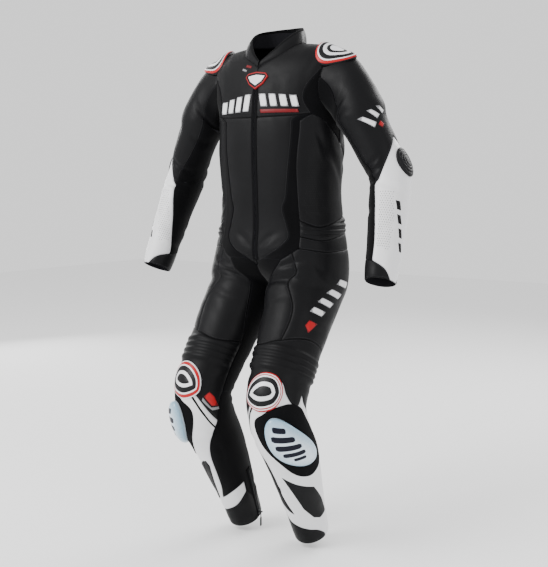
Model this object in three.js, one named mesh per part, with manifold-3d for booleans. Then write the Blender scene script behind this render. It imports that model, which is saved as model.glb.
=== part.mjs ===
// Motorcycle race suit, hollow, in the pose in which it is worn.
// Millimetres, +Z up, front towards -Y, the wearer's left towards +X.
// The origin is between the shoulders, level with the base of the neck.
import * as THREE from 'three';
import { mergeVertices } from 'three/addons/utils/BufferGeometryUtils.js';
import Module from 'manifold-3d';

const wasm = await Module();
wasm.setup();

// Driving dimensions of the cloth
const LEATHER = 2.2;
const STRETCH = 1.8;
const SEAM_INSET = 0.17;
const LAY_GAP = 0.3;
const PATCH = 1.4;

// Named stations down the suit, measured along the cloth from the shoulder line
const NECK_FRONT = 105;
const ARMPIT = 235;
const CROTCH = 685;
const ANKLE = 1430;
const WRIST = 600;
const ARM_TURNS = 12;
const BODY_COLUMNS = 12;
const SIDE = BODY_COLUMNS / 2;

// Turns rows of numbers into rows with named columns
function table(columns, rows) {
  const names = columns.split(' ');
  return rows.map((row) => Object.fromEntries(names.map((name, i) => [name, row[i]])));
}

// Body sections above the waist. Each is a quarter arc from the front edge f to the side s, and another
// from the side b to the back edge k; bulge is the roundness of the arc, 1 flat and 2 an ellipse.
const BODY = table('down fx fy fz sx sy sz bx by bz kx ky kz bulgeFront bulgeBack', [
  [0, 84, -28, 2, 186, -22, -22, 186, -22, -22, 84, -28, 2, 1.2, 1.2],
  [35, 78, -58, -8, 178, -58, -50, 184, 12, -45, 66, 20, 6, 1.3, 1.3],
  [70, 56, -88, -32, 171, -74, -85, 181, 38, -85, 30, 46, 7, 1.5, 1.5],
  [NECK_FRONT, 0, -112, -66, 167, -78, -120, 179, 50, -120, 0, 66, -20, 1.7, 1.7],
  [150, 0, -124, -120, 169, -70, -155, 180, 50, -155, 0, 88, -75, 1.8, 1.9],
  [200, 0, -131, -190, 180, -30, -190, 184, 30, -190, 0, 102, -150, 2.0, 2.1],
  [ARMPIT, 0, -133, -235, 186, -2, -208, 186, -2, -208, 0, 106, -210, 2.2, 2.2],
  [300, 0, -133, -300, 184, -2, -295, 184, -2, -295, 0, 106, -300, 2.3, 2.3],
  [400, 0, -128, -400, 178, 2, -400, 178, 2, -400, 0, 98, -400, 2.3, 2.3],
]);

// Hip and leg rings: centre, tilt in degrees, half width, depth in front and behind, roundness.
// A ring wider than its centre's distance from the middle plane is cut there, down to the crotch.
const LEG = table('down x y z tilt wide front back bulge', [
  [490, 0, 5, -490, 0, 188, 131, 97, 2.3],
  [560, 35, 0, -555, 5, 164, 132, 114, 2.2],
  [610, 62, -6, -602, 12, 141, 129, 122, 2.15],
  [650, 84, -18, -640, 18, 120, 121, 116, 2.1],
  [CROTCH, 99, -34, -672, 24, 99, 111, 106, 2.05],
  [760, 107, -82, -735, 30, 94, 98, 88, 2.0],
  [850, 112, -132, -811, 31, 87, 90, 78, 2.0],
  [930, 117, -174, -879, 26, 82, 86, 72, 2.0],
  [997, 121, -198, -940, 4, 78, 83, 70, 2.0],
  [1060, 123, -184, -1003, -20, 76, 80, 74, 2.0],
  [1140, 123, -144, -1077, -24, 72, 74, 76, 2.0],
  [1220, 121, -107, -1150, -24, 65, 68, 71, 2.0],
  [1300, 119, -72, -1224, -24, 57, 60, 62, 2.0],
  [1380, 117, -40, -1297, -23, 50, 53, 55, 2.0],
  [ANKLE, 116, -20, -1342, -23, 47, 50, 52, 2.0],
]);

// Sleeve rings below the armhole: centre, lean of the outer side in degrees, half width and half depth
const ARM = table('down x y z lean wide deep', [
  [45, 212, -18, -128, 11, 89, 66],
  [85, 235, -21, -150, 22, 80, 65],
  [130, 258, -22, -186, 34, 68, 62],
  [180, 280, -20, -230, 48, 58, 59],
  [240, 309, -15, -285, 60, 55, 58],
  [315, 340, -6, -350, 68, 53, 60],
  [380, 351, -28, -412, 80, 51, 58],
  [460, 360, -58, -486, 82, 47, 53],
  [540, 367, -87, -560, 82, 43, 47],
  [WRIST, 372, -109, -614, 82, 39, 43],
]);

// The right forearm is turned further about its own length than the left one
const RIGHT_TWIST = { from: 330, to: 560, degrees: 70 };

const vec = (x, y, z) => new THREE.Vector3(x, y, z);
const radians = THREE.MathUtils.degToRad;
const smooth = (low, high, value) => THREE.MathUtils.smoothstep(value, low, high);

// One body section at u, from 0 at the front edge over 1 at the side to 2 at the back edge
function bodyPoint(row, u, behind) {
  const turn = (behind ? u - 1 : 1 - u) * Math.PI / 2;
  const bulge = behind ? row.bulgeBack : row.bulgeFront;
  const edge = behind ? vec(row.kx, row.ky, row.kz) : vec(row.fx, row.fy, row.fz);
  const side = behind ? vec(row.bx, row.by, row.bz) : vec(row.sx, row.sy, row.sz);
  const across = Math.max(Math.cos(turn), 0) ** (2 / bulge);
  const along = Math.max(Math.sin(turn), 0) ** (2 / bulge);
  return vec(
    edge.x + (side.x - edge.x) * across,
    side.y + (edge.y - side.y) * along,
    side.z + (edge.z - side.z) * Math.sin(turn),
  );
}

// One hip or leg ring at u, from 0 at the inner front over 1 at the outer side to 2 at the inner back
function legPoint(row, u, behind) {
  const reach = Math.min(1, row.x / row.wide);
  const cut = row.x > 0 ? Math.acos(-(reach ** (row.bulge / 2))) : Math.PI / 2;
  const turn = (behind ? u - 1 : 1 - u) * cut;
  const cosine = Math.cos(turn);
  const across = Math.sign(cosine) * Math.abs(cosine) ** (2 / row.bulge);
  const along = Math.abs(Math.sin(turn)) ** (2 / row.bulge);
  const depth = (behind ? -row.back : row.front) * along;
  const tilt = radians(row.tilt);
  return vec(row.x + row.wide * across, row.y - Math.cos(tilt) * depth, row.z + Math.sin(tilt) * depth);
}

// Smooth curve through the sections, at a station down the cloth
function through(rows, down, pointOf) {
  let k = 0;
  while (k < rows.length - 2 && down >= rows[k + 1].down) k += 1;
  const span = rows[k + 1].down - rows[k].down;
  const t = (down - rows[k].down) / span;
  const slope = (i) => {
    const low = rows[Math.max(i - 1, 0)];
    const high = rows[Math.min(i + 1, rows.length - 1)];
    return pointOf(high).sub(pointOf(low)).multiplyScalar(span / (high.down - low.down));
  };
  const start = pointOf(rows[k]).multiplyScalar(2 * t ** 3 - 3 * t ** 2 + 1);
  const end = pointOf(rows[k + 1]).multiplyScalar(-2 * t ** 3 + 3 * t ** 2);
  return start.add(end)
    .addScaledVector(slope(k), t ** 3 - 2 * t ** 2 + t)
    .addScaledVector(slope(k + 1), t ** 3 - t ** 2);
}

const SECTIONS = [
  ...BODY.map((row) => ({ down: row.down, at: (u, behind) => bodyPoint(row, u, behind) })),
  ...LEG.map((row) => ({ down: row.down, at: (u, behind) => legPoint(row, u, behind) })),
];

// Below the crotch the front and the back arc are drawn together at the inside of the leg
function suitPoint(u, down, behind = u > 1) {
  const at = (place, rear) => through(SECTIONS, down, (section) => section.at(place, rear));
  const point = at(u, behind);
  if (down <= CROTCH) return point;
  const apart = at(2, true).sub(at(0, false));
  return point.addScaledVector(apart, (behind ? -0.5 : 0.5) * (u - 1) ** 2);
}

// The armhole, a turn for each row of the body's net: down in front to the armpit and up behind
function armhole(turns) {
  const front = turns <= ARM_TURNS / 2;
  return suitPoint(1, suit.downOf(front ? turns : ARM_TURNS - turns), !front);
}

function sleeveRings(side) {
  const axis = ARM.map((row) => vec(row.x, row.y, row.z));
  const twistSpan = RIGHT_TWIST.to - RIGHT_TWIST.from;
  const rings = ARM.map((row, k) => {
    const before = axis[Math.max(k - 1, 0)];
    const after = axis[Math.min(k + 1, axis.length - 1)];
    const along = after.clone().sub(before).normalize();
    const lean = radians(row.lean);
    const out = vec(Math.sin(lean), 0, Math.cos(lean));
    if (k > 1) out.addScaledVector(along, -out.dot(along)).normalize();
    const forward = along.clone().cross(out).normalize();
    if (forward.y > 0) forward.negate();
    const grown = smooth(0, 1, (row.down - RIGHT_TWIST.from) / twistSpan);
    const twist = side < 0 ? radians(RIGHT_TWIST.degrees) * grown : 0;
    const at = (turns) => {
      const angle = turns * 2 * Math.PI / ARM_TURNS + twist;
      return axis[k].clone()
        .addScaledVector(out, row.wide * Math.cos(angle))
        .addScaledVector(forward, row.deep * Math.sin(angle));
    };
    return { down: row.down, at };
  });
  return [{ down: 0, at: armhole }, ...rings];
}

// A form is a net of points and outward normals. Cloth is cut on the flat net and laid on it, so
// every piece, and all that lies on it, follows the same facets. U counts columns and V counts rows.
class Form {
  constructor(columns, downs, pointAt, closedBelow) {
    this.columns = columns;
    this.downs = downs;
    this.closedBelow = closedBelow;
    this.points = new Map();
    this.normals = new Map();
    this.pointAt = pointAt;
  }

  rowOf(down) {
    const { downs } = this;
    let j = 0;
    while (j < downs.length - 2 && down > downs[j + 1]) j += 1;
    return j + (down - downs[j]) / (downs[j + 1] - downs[j]);
  }

  downOf(V) {
    const j = Math.min(Math.max(Math.floor(V), 0), this.downs.length - 2);
    return this.downs[j] + (V - j) * (this.downs[j + 1] - this.downs[j]);
  }

  key(i, j, right) {
    return `${i},${j},${this.splitAt(i, j) ? right : ''}`;
  }

  splitAt(i, j) {
    return this.split && i === SIDE && this.downs[j] < ARMPIT;
  }

  // Net point i, j; right tells on which side of a split column the cell lies
  point(i, j, right) {
    const key = this.key(i, j, right);
    if (!this.points.has(key)) this.points.set(key, this.pointAt(i, this.downs[j], right));
    return this.points.get(key);
  }

  smoothNormal(i, j, right) {
    const step = 0.02;
    const low = this.downs[0];
    const high = this.downs[this.downs.length - 1];
    const down = this.downs[j];
    const left = this.wraps(j) ? i - step : Math.max(i - step, right && this.splitAt(i, j) ? SIDE : 0);
    const top = !right && this.splitAt(i, j) ? SIDE : this.columns;
    const next = this.wraps(j) ? i + step : Math.min(i + step, top);
    const across = this.pointAt(next, down, right).sub(this.pointAt(left, down, right));
    const along = this.pointAt(i, Math.min(down + 1, high), right)
      .sub(this.pointAt(i, Math.max(down - 1, low), right));
    const normal = this.outFromAcross ? across.cross(along) : along.cross(across);
    return normal.normalize();
  }

  wraps(j) {
    return this.downs[j] >= this.closedBelow;
  }

  normal(i, j, right) {
    const key = this.key(i, j, right);
    if (!this.normals.has(key)) this.normals.set(key, this.mitre(i, j, this.smoothNormal(i, j, right), right));
    return this.normals.get(key);
  }

  // Where a flat place (U, V), raised by w, comes to lie; mirrored left of column 0 if asked
  lay(U, V, w, mirrored = false) {
    const flip = mirrored && U < 0;
    const u = flip ? -U : U;
    const j = Math.min(Math.max(Math.floor(V + 1e-9), 0), this.downs.length - 2);
    const i = Math.floor(u + (u > 0 && Math.abs(u - Math.round(u)) < 1e-9 ? -1e-6 : 0));
    const s = u - i;
    const t = V - j;
    const right = i >= SIDE;
    const wrap = (c) => ((c % this.columns) + this.columns) % this.columns;
    const col = (c) => (this.wraps(j) && (c < 0 || c > this.columns) ? wrap(c) : c);
    const corner = (a, b) => this.point(col(i + a), j + b, right).clone()
      .addScaledVector(this.normal(col(i + a), j + b, right), w);
    const base = corner(0, 0);
    const far = corner(1, 1);
    const mid = s >= t ? corner(1, 0) : corner(0, 1);
    const [a, b] = s >= t ? [1 - s, s - t] : [1 - t, t - s];
    const place = base.multiplyScalar(a).addScaledVector(mid, b).addScaledVector(far, Math.min(s, t));
    if (flip) place.x = -place.x;
    return place;
  }

  // Places near a flat place, measured on the cloth: x = a U + b V and y = c V, in millimetres
  metric(U, V, mirrored) {
    const e = 0.05;
    const v = Math.min(Math.max(V, e), this.downs.length - 1 - e);
    const open = this.wraps(Math.floor(v)) || mirrored;
    const u = open ? U : Math.min(Math.max(U, e), this.columns - e);
    const h = e * 0.9;
    const across = this.lay(u + h, v, 0, mirrored).sub(this.lay(u - h, v, 0, mirrored)).divideScalar(2 * h);
    const along = this.lay(u, v + h, 0, mirrored).sub(this.lay(u, v - h, 0, mirrored)).divideScalar(2 * h);
    const a = across.length();
    const b = along.dot(across) / a;
    return { a, b, c: Math.sqrt(Math.max(along.lengthSq() - b * b, 1)) };
  }
}

// Rows of the net: those of the body end on the neckline, the armpit, the crotch and the ankle
function stations(marks) {
  const downs = [0];
  for (const { to, steps } of marks) {
    const from = downs[downs.length - 1];
    for (let k = 1; k <= steps; k += 1) downs.push(from + (to - from) * k / steps);
  }
  return downs;
}

const NECK_ROWS = 3;
const suitRows = stations([
  { to: NECK_FRONT, steps: NECK_ROWS },
  { to: ARMPIT, steps: 3 },
  { to: CROTCH, steps: 9 },
  { to: ANKLE, steps: 14 },
]);

const suit = new Form(
  BODY_COLUMNS,
  suitRows,
  (i, down, right) => {
    const u = ((i / SIDE) + 4) % 2;
    const atEnd = i === BODY_COLUMNS ? 2 : u;
    return suitPoint(atEnd, down, i === SIDE ? Boolean(right) : undefined);
  },
  CROTCH,
);
suit.split = true;

// Pieces that meet at an edge of the net share the middle direction there
suit.mitre = (i, j, normal, right) => {
  const down = suitRows[j];
  const mean = normal.clone();
  if ((i === 0 || i === BODY_COLUMNS) && down <= CROTCH && down >= NECK_FRONT) mean.x = 0;
  if (down === CROTCH && (i === 0 || i === BODY_COLUMNS)) mean.set(0, 0, -1);
  if (j === 0) mean.add(suit.smoothNormal(BODY_COLUMNS - i, j, i <= SIDE && !(i === SIDE && right)));
  if (i === SIDE && down <= ARMPIT) {
    const turns = right ? ARM_TURNS - j : j;
    mean.normalize().add(leftSleeve.smoothNormal(turns % ARM_TURNS, 0, false));
  }
  return mean.normalize();
};

function sleeveForm(side) {
  const rings = sleeveRings(side);
  const downs = stations([{ to: WRIST, steps: 10 }]);
  const wrapped = (i) => ((i % ARM_TURNS) + ARM_TURNS) % ARM_TURNS;
  const form = new Form(
    ARM_TURNS,
    downs,
    (i, down) => through(rings, down, (ring) => ring.at(wrapped(i))),
    0,
  );
  form.outFromAcross = true;
  form.mitre = (i, j, normal) => {
    if (j > 0) return normal;
    const turns = wrapped(i);
    const behind = turns > ARM_TURNS / 2;
    const row = behind ? ARM_TURNS - turns : turns;
    return suit.normal(SIDE, row, behind).clone();
  };
  return form;
}

const leftSleeve = sleeveForm(1);
const sleeves = { left: leftSleeve, right: sleeveForm(-1) };

// Keeps the part of a flat outline on one side of a line: a U + b V + c >= 0
function keepSide(outline, a, b, c) {
  const kept = [];
  const reach = (p) => a * p[0] + b * p[1] + c;
  outline.forEach((p, k) => {
    const q = outline[(k + 1) % outline.length];
    const rp = reach(p);
    const rq = reach(q);
    if (rp >= -1e-9) kept.push(p);
    if ((rp > 1e-9 && rq < -1e-9) || (rp < -1e-9 && rq > 1e-9)) {
      const t = rp / (rp - rq);
      kept.push([p[0] + (q[0] - p[0]) * t, p[1] + (q[1] - p[1]) * t]);
    }
  });
  return kept;
}

function flatArea(outline) {
  let area = 0;
  outline.forEach(([x, y], k) => {
    const [nx, ny] = outline[(k + 1) % outline.length];
    area += (x * ny - nx * y) / 2;
  });
  return area;
}

// Moves each corner of a flat outline inwards, so that its edges move by a distance on the cloth
function inset(form, outline, distance, mirrored) {
  const points = flatArea(outline) > 0 ? outline : [...outline].reverse();
  // How fast the distance to an edge grows with U and with V, measured on the edge close to a corner
  const growth = (corner, other, sign) => {
    const [dU, dV] = [other[0] - corner[0], other[1] - corner[1]];
    const t = Math.min(0.5, 0.08 / Math.hypot(dU, dV));
    const { a, b, c } = form.metric(corner[0] + t * dU, corner[1] + t * dV, mirrored);
    const along = new THREE.Vector2(a * dU + b * dV, c * dV).multiplyScalar(sign).normalize();
    return new THREE.Vector2(-along.y * a, -along.y * b + along.x * c);
  };
  return points.map((p, k) => {
    const coming = growth(p, points[(k + points.length - 1) % points.length], -1);
    const going = growth(p, points[(k + 1) % points.length], 1);
    const det = coming.cross(going);
    if (Math.abs(det) > 0.1 * coming.length() * going.length()) {
      return [p[0] + distance * (going.y - coming.y) / det, p[1] + distance * (coming.x - going.x) / det];
    }
    const mean = coming.add(going).divideScalar(2);
    return [p[0] + distance * mean.x / mean.lengthSq(), p[1] + distance * mean.y / mean.lengthSq()];
  });
}

// Distance on the cloth from a flat place to the outline
function edgeDistance(form, outline, U, V, mirrored) {
  const { a, b, c } = form.metric(U, V, mirrored);
  const onCloth = ([u, v]) => vec(a * u + b * v, c * v, 0);
  const place = onCloth([U, V]);
  const nearest = new THREE.Vector3();
  const edge = new THREE.Line3();
  return Math.min(...outline.map((p, k) => {
    const q = outline[(k + 1) % outline.length];
    edge.set(onCloth(p), onCloth(q));
    edge.closestPointToPoint(place, true, nearest);
    return nearest.distanceTo(place);
  }));
}

function linesBetween(low, high, steps) {
  const cuts = [];
  for (let k = Math.floor(low * steps); k <= Math.ceil(high * steps); k += 1) cuts.push(k / steps);
  return cuts;
}

const inOrder = (values) => [...new Set(values)].sort((a, b) => a - b);

// Cuts a flat outline along the facets of the net, and along finer lines where a piece needs them
function cutToNet(outline, { fineU = 1, cutsU = [], cutsV = [], fineV = 1, mirrored = false }) {
  const us = outline.map((p) => p[0]);
  const vs = outline.map((p) => p[1]);
  const [lowU, highU] = [Math.min(...us), Math.max(...us)];
  const [lowV, highV] = [Math.min(...vs), Math.max(...vs)];
  const rows = inOrder([...linesBetween(lowV, highV, fineV), ...cutsV]);
  const columns = inOrder([...linesBetween(lowU, highU, fineU), ...cutsU]);
  const pieces = [];
  for (let r = 0; r + 1 < rows.length; r += 1) {
    const band = keepSide(keepSide(outline, 0, 1, -rows[r]), 0, -1, rows[r + 1]);
    for (let c = 0; c + 1 < columns.length && band.length > 2; c += 1) {
      const cell = keepSide(keepSide(band, 1, 0, -columns[c]), -1, 0, columns[c + 1]);
      if (cell.length < 3) continue;
      const i = Math.floor((columns[c] + columns[c + 1]) / 2);
      const j = Math.floor((rows[r] + rows[r + 1]) / 2);
      const falls = mirrored && i < 0;
      const diagonal = falls ? [1, 1, -(i + 1 + j)] : [1, -1, j - i];
      pieces.push(keepSide(cell, ...diagonal), keepSide(cell, ...diagonal.map((x) => -x)));
    }
  }
  return pieces.filter((piece) => piece.length > 2 && Math.abs(flatArea(piece)) > 1e-8);
}

const SPLIT_ORDER = vec(0.3, 0.5, 1);

// A closed solid from flat facets, with an outer and an inner place for each corner
function solidFromFacets(facets, outerAt, innerAt) {
  const index = new Map();
  const corners = [];
  const idOf = ([U, V]) => {
    const key = `${Math.round(U * 1e5)},${Math.round(V * 1e5)}`;
    if (!index.has(key)) {
      index.set(key, corners.length);
      corners.push([U, V]);
    }
    return index.get(key);
  };
  const triangles = [];
  for (const facet of facets) {
    const ids = facet.map(idOf).filter((id, k, all) => id !== all[(k + 1) % all.length]);
    if (ids.length < 3) continue;
    const contour = ids.map((id) => new THREE.Vector2(...corners[id]));
    for (const tri of THREE.ShapeUtils.triangulateShape(contour, [])) {
      const [a, b, c] = tri.map((k) => ids[k]);
      const turned = flatArea([a, b, c].map((id) => corners[id])) > 0;
      triangles.push(turned ? [a, b, c] : [a, c, b]);
    }
  }
  const rim = new Map();
  for (const [a, b, c] of triangles) {
    for (const [p, q] of [[a, b], [b, c], [c, a]]) {
      if (rim.has(`${q},${p}`)) rim.delete(`${q},${p}`);
      else rim.set(`${p},${q}`, [p, q]);
    }
  }
  const count = corners.length;
  const positions = [];
  for (const [U, V] of corners) positions.push(...outerAt(U, V).toArray());
  for (const [U, V] of corners) positions.push(...innerAt(U, V).toArray());
  const faces = [];
  for (const [a, b, c] of triangles) faces.push(a, b, c, a + count, c + count, b + count);
  // An edge wall is often twisted, so neighbours have to split it along the same diagonal
  const reach = (id) => vec(...positions.slice(3 * id, 3 * id + 3)).dot(SPLIT_ORDER);
  for (const [p, q] of rim.values()) {
    if (reach(q) > reach(p)) faces.push(q, p, p + count, q, p + count, q + count);
    else faces.push(q, p, q + count, p, p + count, q + count);
  }
  return facesOutwards(positions, faces);
}

function signedVolume(positions, faces) {
  const at = (k) => vec(positions[3 * k], positions[3 * k + 1], positions[3 * k + 2]);
  let volume = 0;
  for (let k = 0; k < faces.length; k += 3) {
    volume += at(faces[k]).dot(at(faces[k + 1]).cross(at(faces[k + 2]))) / 6;
  }
  return volume;
}

// A geometry whose faces point out, turned over where they point in
function facesOutwards(positions, faces) {
  const turned = [...faces];
  if (signedVolume(positions, faces) < 0) {
    for (let k = 0; k < turned.length; k += 3) [turned[k], turned[k + 1]] = [turned[k + 1], turned[k]];
  }
  const geometry = new THREE.BufferGeometry();
  geometry.setAttribute('position', new THREE.Float32BufferAttribute(positions, 3));
  geometry.setIndex(turned);
  return geometry;
}

function mirrorGeometry(geometry) {
  const positions = [...geometry.attributes.position.array];
  for (let k = 0; k < positions.length; k += 3) positions[k] = -positions[k];
  return facesOutwards(positions, [...geometry.index.array]);
}

// A piece of cloth, or of what lies on it, cut to an outline of [u, down] places
function piece(form, outline, options = {}) {
  const { outer = 0, inner = -LEATHER, rise = null, mirrored = false } = options;
  const perUnit = form === suit ? SIDE : ARM_TURNS / 360;
  const flat = outline.map(([u, down]) => [u * perUnit, form.rowOf(down)]);
  const cut = inset(form, flat, options.inset ?? SEAM_INSET, mirrored);
  const facets = cutToNet(cut, {
    ...options,
    cutsU: options.cutsAcross?.map((u) => u * perUnit),
    cutsV: options.cutsDown?.map((down) => form.rowOf(down)),
  });
  const height = (U, V) => {
    if (!rise) return outer;
    return outer + rise(edgeDistance(form, cut, U, V, mirrored), form.downOf(V), U / perUnit);
  };
  return solidFromFacets(
    facets,
    (U, V) => form.lay(U, V, height(U, V), mirrored),
    (U, V) => form.lay(U, V, inner, mirrored),
  );
}

// Solids for cutting and joining
function solidOf(geometry) {
  const bare = geometry.clone();
  bare.deleteAttribute('normal');
  bare.deleteAttribute('uv');
  const merged = mergeVertices(bare, 1e-4);
  return new wasm.Manifold(new wasm.Mesh({
    numProp: 3,
    vertProperties: new Float32Array(merged.attributes.position.array),
    triVerts: new Uint32Array(merged.index.array),
  }));
}

function geometryOf(solid) {
  const mesh = solid.getMesh();
  return facesOutwards([...mesh.vertProperties], [...mesh.triVerts]);
}

// What is left of a piece once others are cut away from it
function trimmed(geometry, tools) {
  const rest = tools.reduce((solid, tool) => solid.subtract(solidOf(tool)), solidOf(geometry));
  return geometryOf(rest.decompose().sort((a, b) => b.volume() - a.volume())[0]);
}

// The space that the body's cloth takes round the left armhole. The net is split there, and its rear
// half starts just behind the split.
const JUST_BEHIND = 1 + 1e-8;
function roundArmhole({ top, low, reach }, depths) {
  const half = (from, to) => {
    const outline = [[from, top], [to, top], [to, low], [from, low]];
    return piece(suit, outline, { ...depths, inset: 0 });
  };
  return [half(1 - reach, 1), half(JUST_BEHIND, 1 + reach)];
}

// The white shin piece ends in a spike beside the knee
const SPIKE = 0.97;

// Seams shared by neighbouring pieces, as [u, down] places. u is 0 at the centre front or the inside of
// the leg, 1 at the side and 2 at the centre back or again the inside of the leg.
const seams = {
  chest: [[0, 204], [0.385, 202], [0.53, 200], [0.64, 198]],
  stretchFront: [[1, 60], [0.86, 80], [0.68, 128], [0.59, 165], [0.64, 198]],
  underArm: [[0.64, 198], [0.735, 210], [0.83, 240], [1, 272]],
  bandInner: [[0.53, 200], [0.42, 210], [0.38, 226], [0.34, 312], [0.31, 400], [0.265, 436], [0.3, 480],
    [0.315, 520], [0.18, 574], [0.1, 600]],
  bandOuter: [[0.64, 198], [0.51, 210], [0.455, 226], [0.415, 312], [0.43, 400], [0.43, 466]],
  sideBack: [[1, 272], [1.15, 292], [1.2, 380], [1.2, 456]],
  ribsTopSide: [[0.43, 466], [0.675, 484], [1, 466], [1.2, 456]],
  ribsTopBack: [[1.2, 456], [1.6, 450], [2, 450]],
  ribsLowSide: [[0.43, 512], [0.7, 524], [1, 510], [1.3, 500]],
  ribsLowBack: [[1.3, 500], [2, 500]],
  bandDiagonal: [[0.43, 552], [0.37, 568], [0.275, 602]],
  hip: [[0.43, 552], [0.73, 560], [1.134, 550], [1.3, 548]],
  doubleSeam: [[0.37, 568], [0.42, 605], [0.495, 654], [0.6, 728], [0.635, 770], [0.63, 810], [0.6, 852]],
  innerThigh: [[0.275, 602], [0.25, 652], [0.245, 690], [0.195, 740], [0.11, 816], [0.08, 850]],
  thighBack: [[1.3, 548], [1.28, 700], [1.27, 840]],
  ribsKneeInner: [[0.08, 850], [0.35, 868], [0.6, 852]],
  ribsKneeOuter: [[0.6, 852], [0.9, 826], [1.27, 840]],
  kneeBack: [[1.27, 840], [1.28, 985]],
  seatInner: [[2, CROTCH], [1.88, 740], [1.85, 850], [1.88, 985]],
  shinTop: [[0.155, 1050], [0.3, 1010], [0.42, 985], [0.55, 962], [0.7, 946], [0.78, 968], [0.86, 986],
    [0.94, 990], [SPIKE, 964], [1.03, 985], [1.15, 1010], [1.25, 1060]],
  shinInner: [[0.155, 1050], [0.23, 1074], [0.33, 1110], [0.4, 1160], [0.44, 1262], [0.52, 1316],
    [0.3, 1292], [0.09, 1276], [0.1, 1312]],
  shinLow: [[0.1, 1312], [0.3, 1345], [0.5, 1362], [0.7, 1378], [0.85, 1392], [0.98, 1418], [0.98, ANKLE]],
  hemTop: [[1.25, 1372], [1.7, 1372], [1.95, 1350], [2.1, 1312]],
  shinOuter: [[1.25, 1060], [1.26, 1200], [1.25, 1372]],
};

const back = (seam) => [...seam].reverse();
const around = (seam) => seam.map(([u, down]) => [u + 2, down]);

// Joins seams end to end into one outline, without repeating shared ends
function outlineOf(...runs) {
  const points = runs.flat();
  return points.filter(([u, down], k) => {
    const [pu, pd] = points[(k + points.length - 1) % points.length];
    return Math.abs(u - pu) > 1e-6 || Math.abs(down - pd) > 1e-6;
  });
}

// Rounded accordion folds, fading towards the seams
function folds(from, to, count, height, fade) {
  return (distance, down) => {
    const wave = 0.5 - 0.5 * Math.cos(2 * Math.PI * count * (down - from) / (to - from));
    const inside = down > from && down < to ? wave : 0;
    return height * inside * Math.min(1, distance / fade);
  };
}

function foldLines(from, to, count) {
  return Array.from({ length: 2 * count + 1 }, (_, k) => from + (to - from) * k / (2 * count));
}

// A crowned shape: steep at its rim and rounded over to its full height
function crown(height, shoulder, rim = 0) {
  return (distance) => {
    const t = Math.min(1, distance / shoulder);
    return rim + (height - rim) * Math.sqrt(Math.max(0, 1 - (1 - t) ** 2));
  };
}

// A closed outline through a ring of corners, each rounded by short arcs. A quarter of the body is about
// QUARTER wide.
const QUARTER = 250;
const TENSION = 0.6;
function rounded(corners, steps = 2) {
  const flat = corners.map(([u, down]) => vec(u * QUARTER, down, 0));
  const curve = new THREE.CatmullRomCurve3(flat, true, 'catmullrom', TENSION);
  return curve.getPoints(corners.length * steps).slice(0, -1).map((p) => [p.x / QUARTER, p.y]);
}

// An ellipse as a ring of places, slanted by a share of its own size; perUnit is the width of one unit across
function ellipse({ at, down, wide, long, slant = 0, corners }, perUnit) {
  return Array.from({ length: corners }, (_, k) => {
    const angle = 2 * Math.PI * k / corners;
    const across = wide * Math.cos(angle);
    const along = long * Math.sin(angle);
    return [at + across + slant * along / perUnit, down + along + slant * across * perUnit / 2];
  });
}

const WAIST_RIBS = { from: 460, to: 520, count: 3, height: 3.2, fade: 12 };
const KNEE_RIBS = { from: 862, to: 926, count: 3, height: 3.2, fade: 12 };
const ribs = ({ from, to, count, height, fade }) => ({
  rise: folds(from, to, count, height, fade),
  cutsDown: foldLines(from, to, count),
});

const stretch = { inner: -STRETCH };

const bodyPieces = {
  chest: [outlineOf([[0, 0], [1, 0]], seams.stretchFront, back(seams.chest), [[0, NECK_FRONT]])],
  armhole_stretch: [outlineOf(seams.stretchFront, seams.underArm, [[1, ARMPIT]]), stretch],
  belly: [outlineOf(seams.chest.slice(0, 3), seams.bandInner, [[0, 626]])],
  front_band: [
    outlineOf(seams.bandInner, [[0.275, 602]], back(seams.bandDiagonal), back(seams.bandOuter),
      [[0.64, 198]]),
    stretch,
  ],
  side: [outlineOf(seams.underArm, seams.sideBack, back(seams.ribsTopSide), back(seams.bandOuter))],
  back: [outlineOf([[1, 0], [2, 0], [2, NECK_FRONT], [2, 450]], back(seams.ribsTopBack), back(seams.sideBack),
    [[1, ARMPIT]])],
  waist_ribs: [
    outlineOf(seams.ribsTopSide, seams.ribsTopBack, [[2, 500]], back(seams.ribsLowBack),
      back(seams.ribsLowSide)),
    ribs(WAIST_RIBS),
  ],
  hip: [outlineOf(seams.ribsLowSide, back(seams.hip))],
  seat: [outlineOf(seams.ribsLowBack, [[2, 500]], seams.seatInner, [[1.28, 985]], back(seams.kneeBack),
    back(seams.thighBack))],
  thigh_outer: [outlineOf(seams.hip, seams.thighBack, back(seams.ribsKneeOuter), back(seams.doubleSeam))],
  thigh_front: [outlineOf(seams.doubleSeam, back(seams.ribsKneeInner), back(seams.innerThigh),
    back(seams.bandDiagonal).slice(0, 2))],
  inner_thigh: [
    outlineOf([[0, 626], [0.1, 600]], seams.innerThigh, [[0.08, 985]],
      back(seams.seatInner).map(([u, down]) => [u - 2, down])),
    stretch,
  ],
  knee_ribs: [
    outlineOf(seams.ribsKneeInner, seams.ribsKneeOuter, seams.kneeBack, back(seams.shinTop), [[0.08, 985]]),
    { ...ribs(KNEE_RIBS), cutsAcross: [SPIKE] },
  ],
  shin: [outlineOf(seams.shinTop, seams.shinOuter, [[1.25, ANKLE]], back(seams.shinLow), back(seams.shinInner)),
    { cutsAcross: [SPIKE] }],
  calf: [
    outlineOf([[1.28, 985], [2.08, 985]], around(seams.shinInner), back(seams.hemTop), back(seams.shinOuter)),
    stretch,
  ],
  hem: [outlineOf(seams.hemTop, around(seams.shinLow), [[1.25, ANKLE]])],
};

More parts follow.
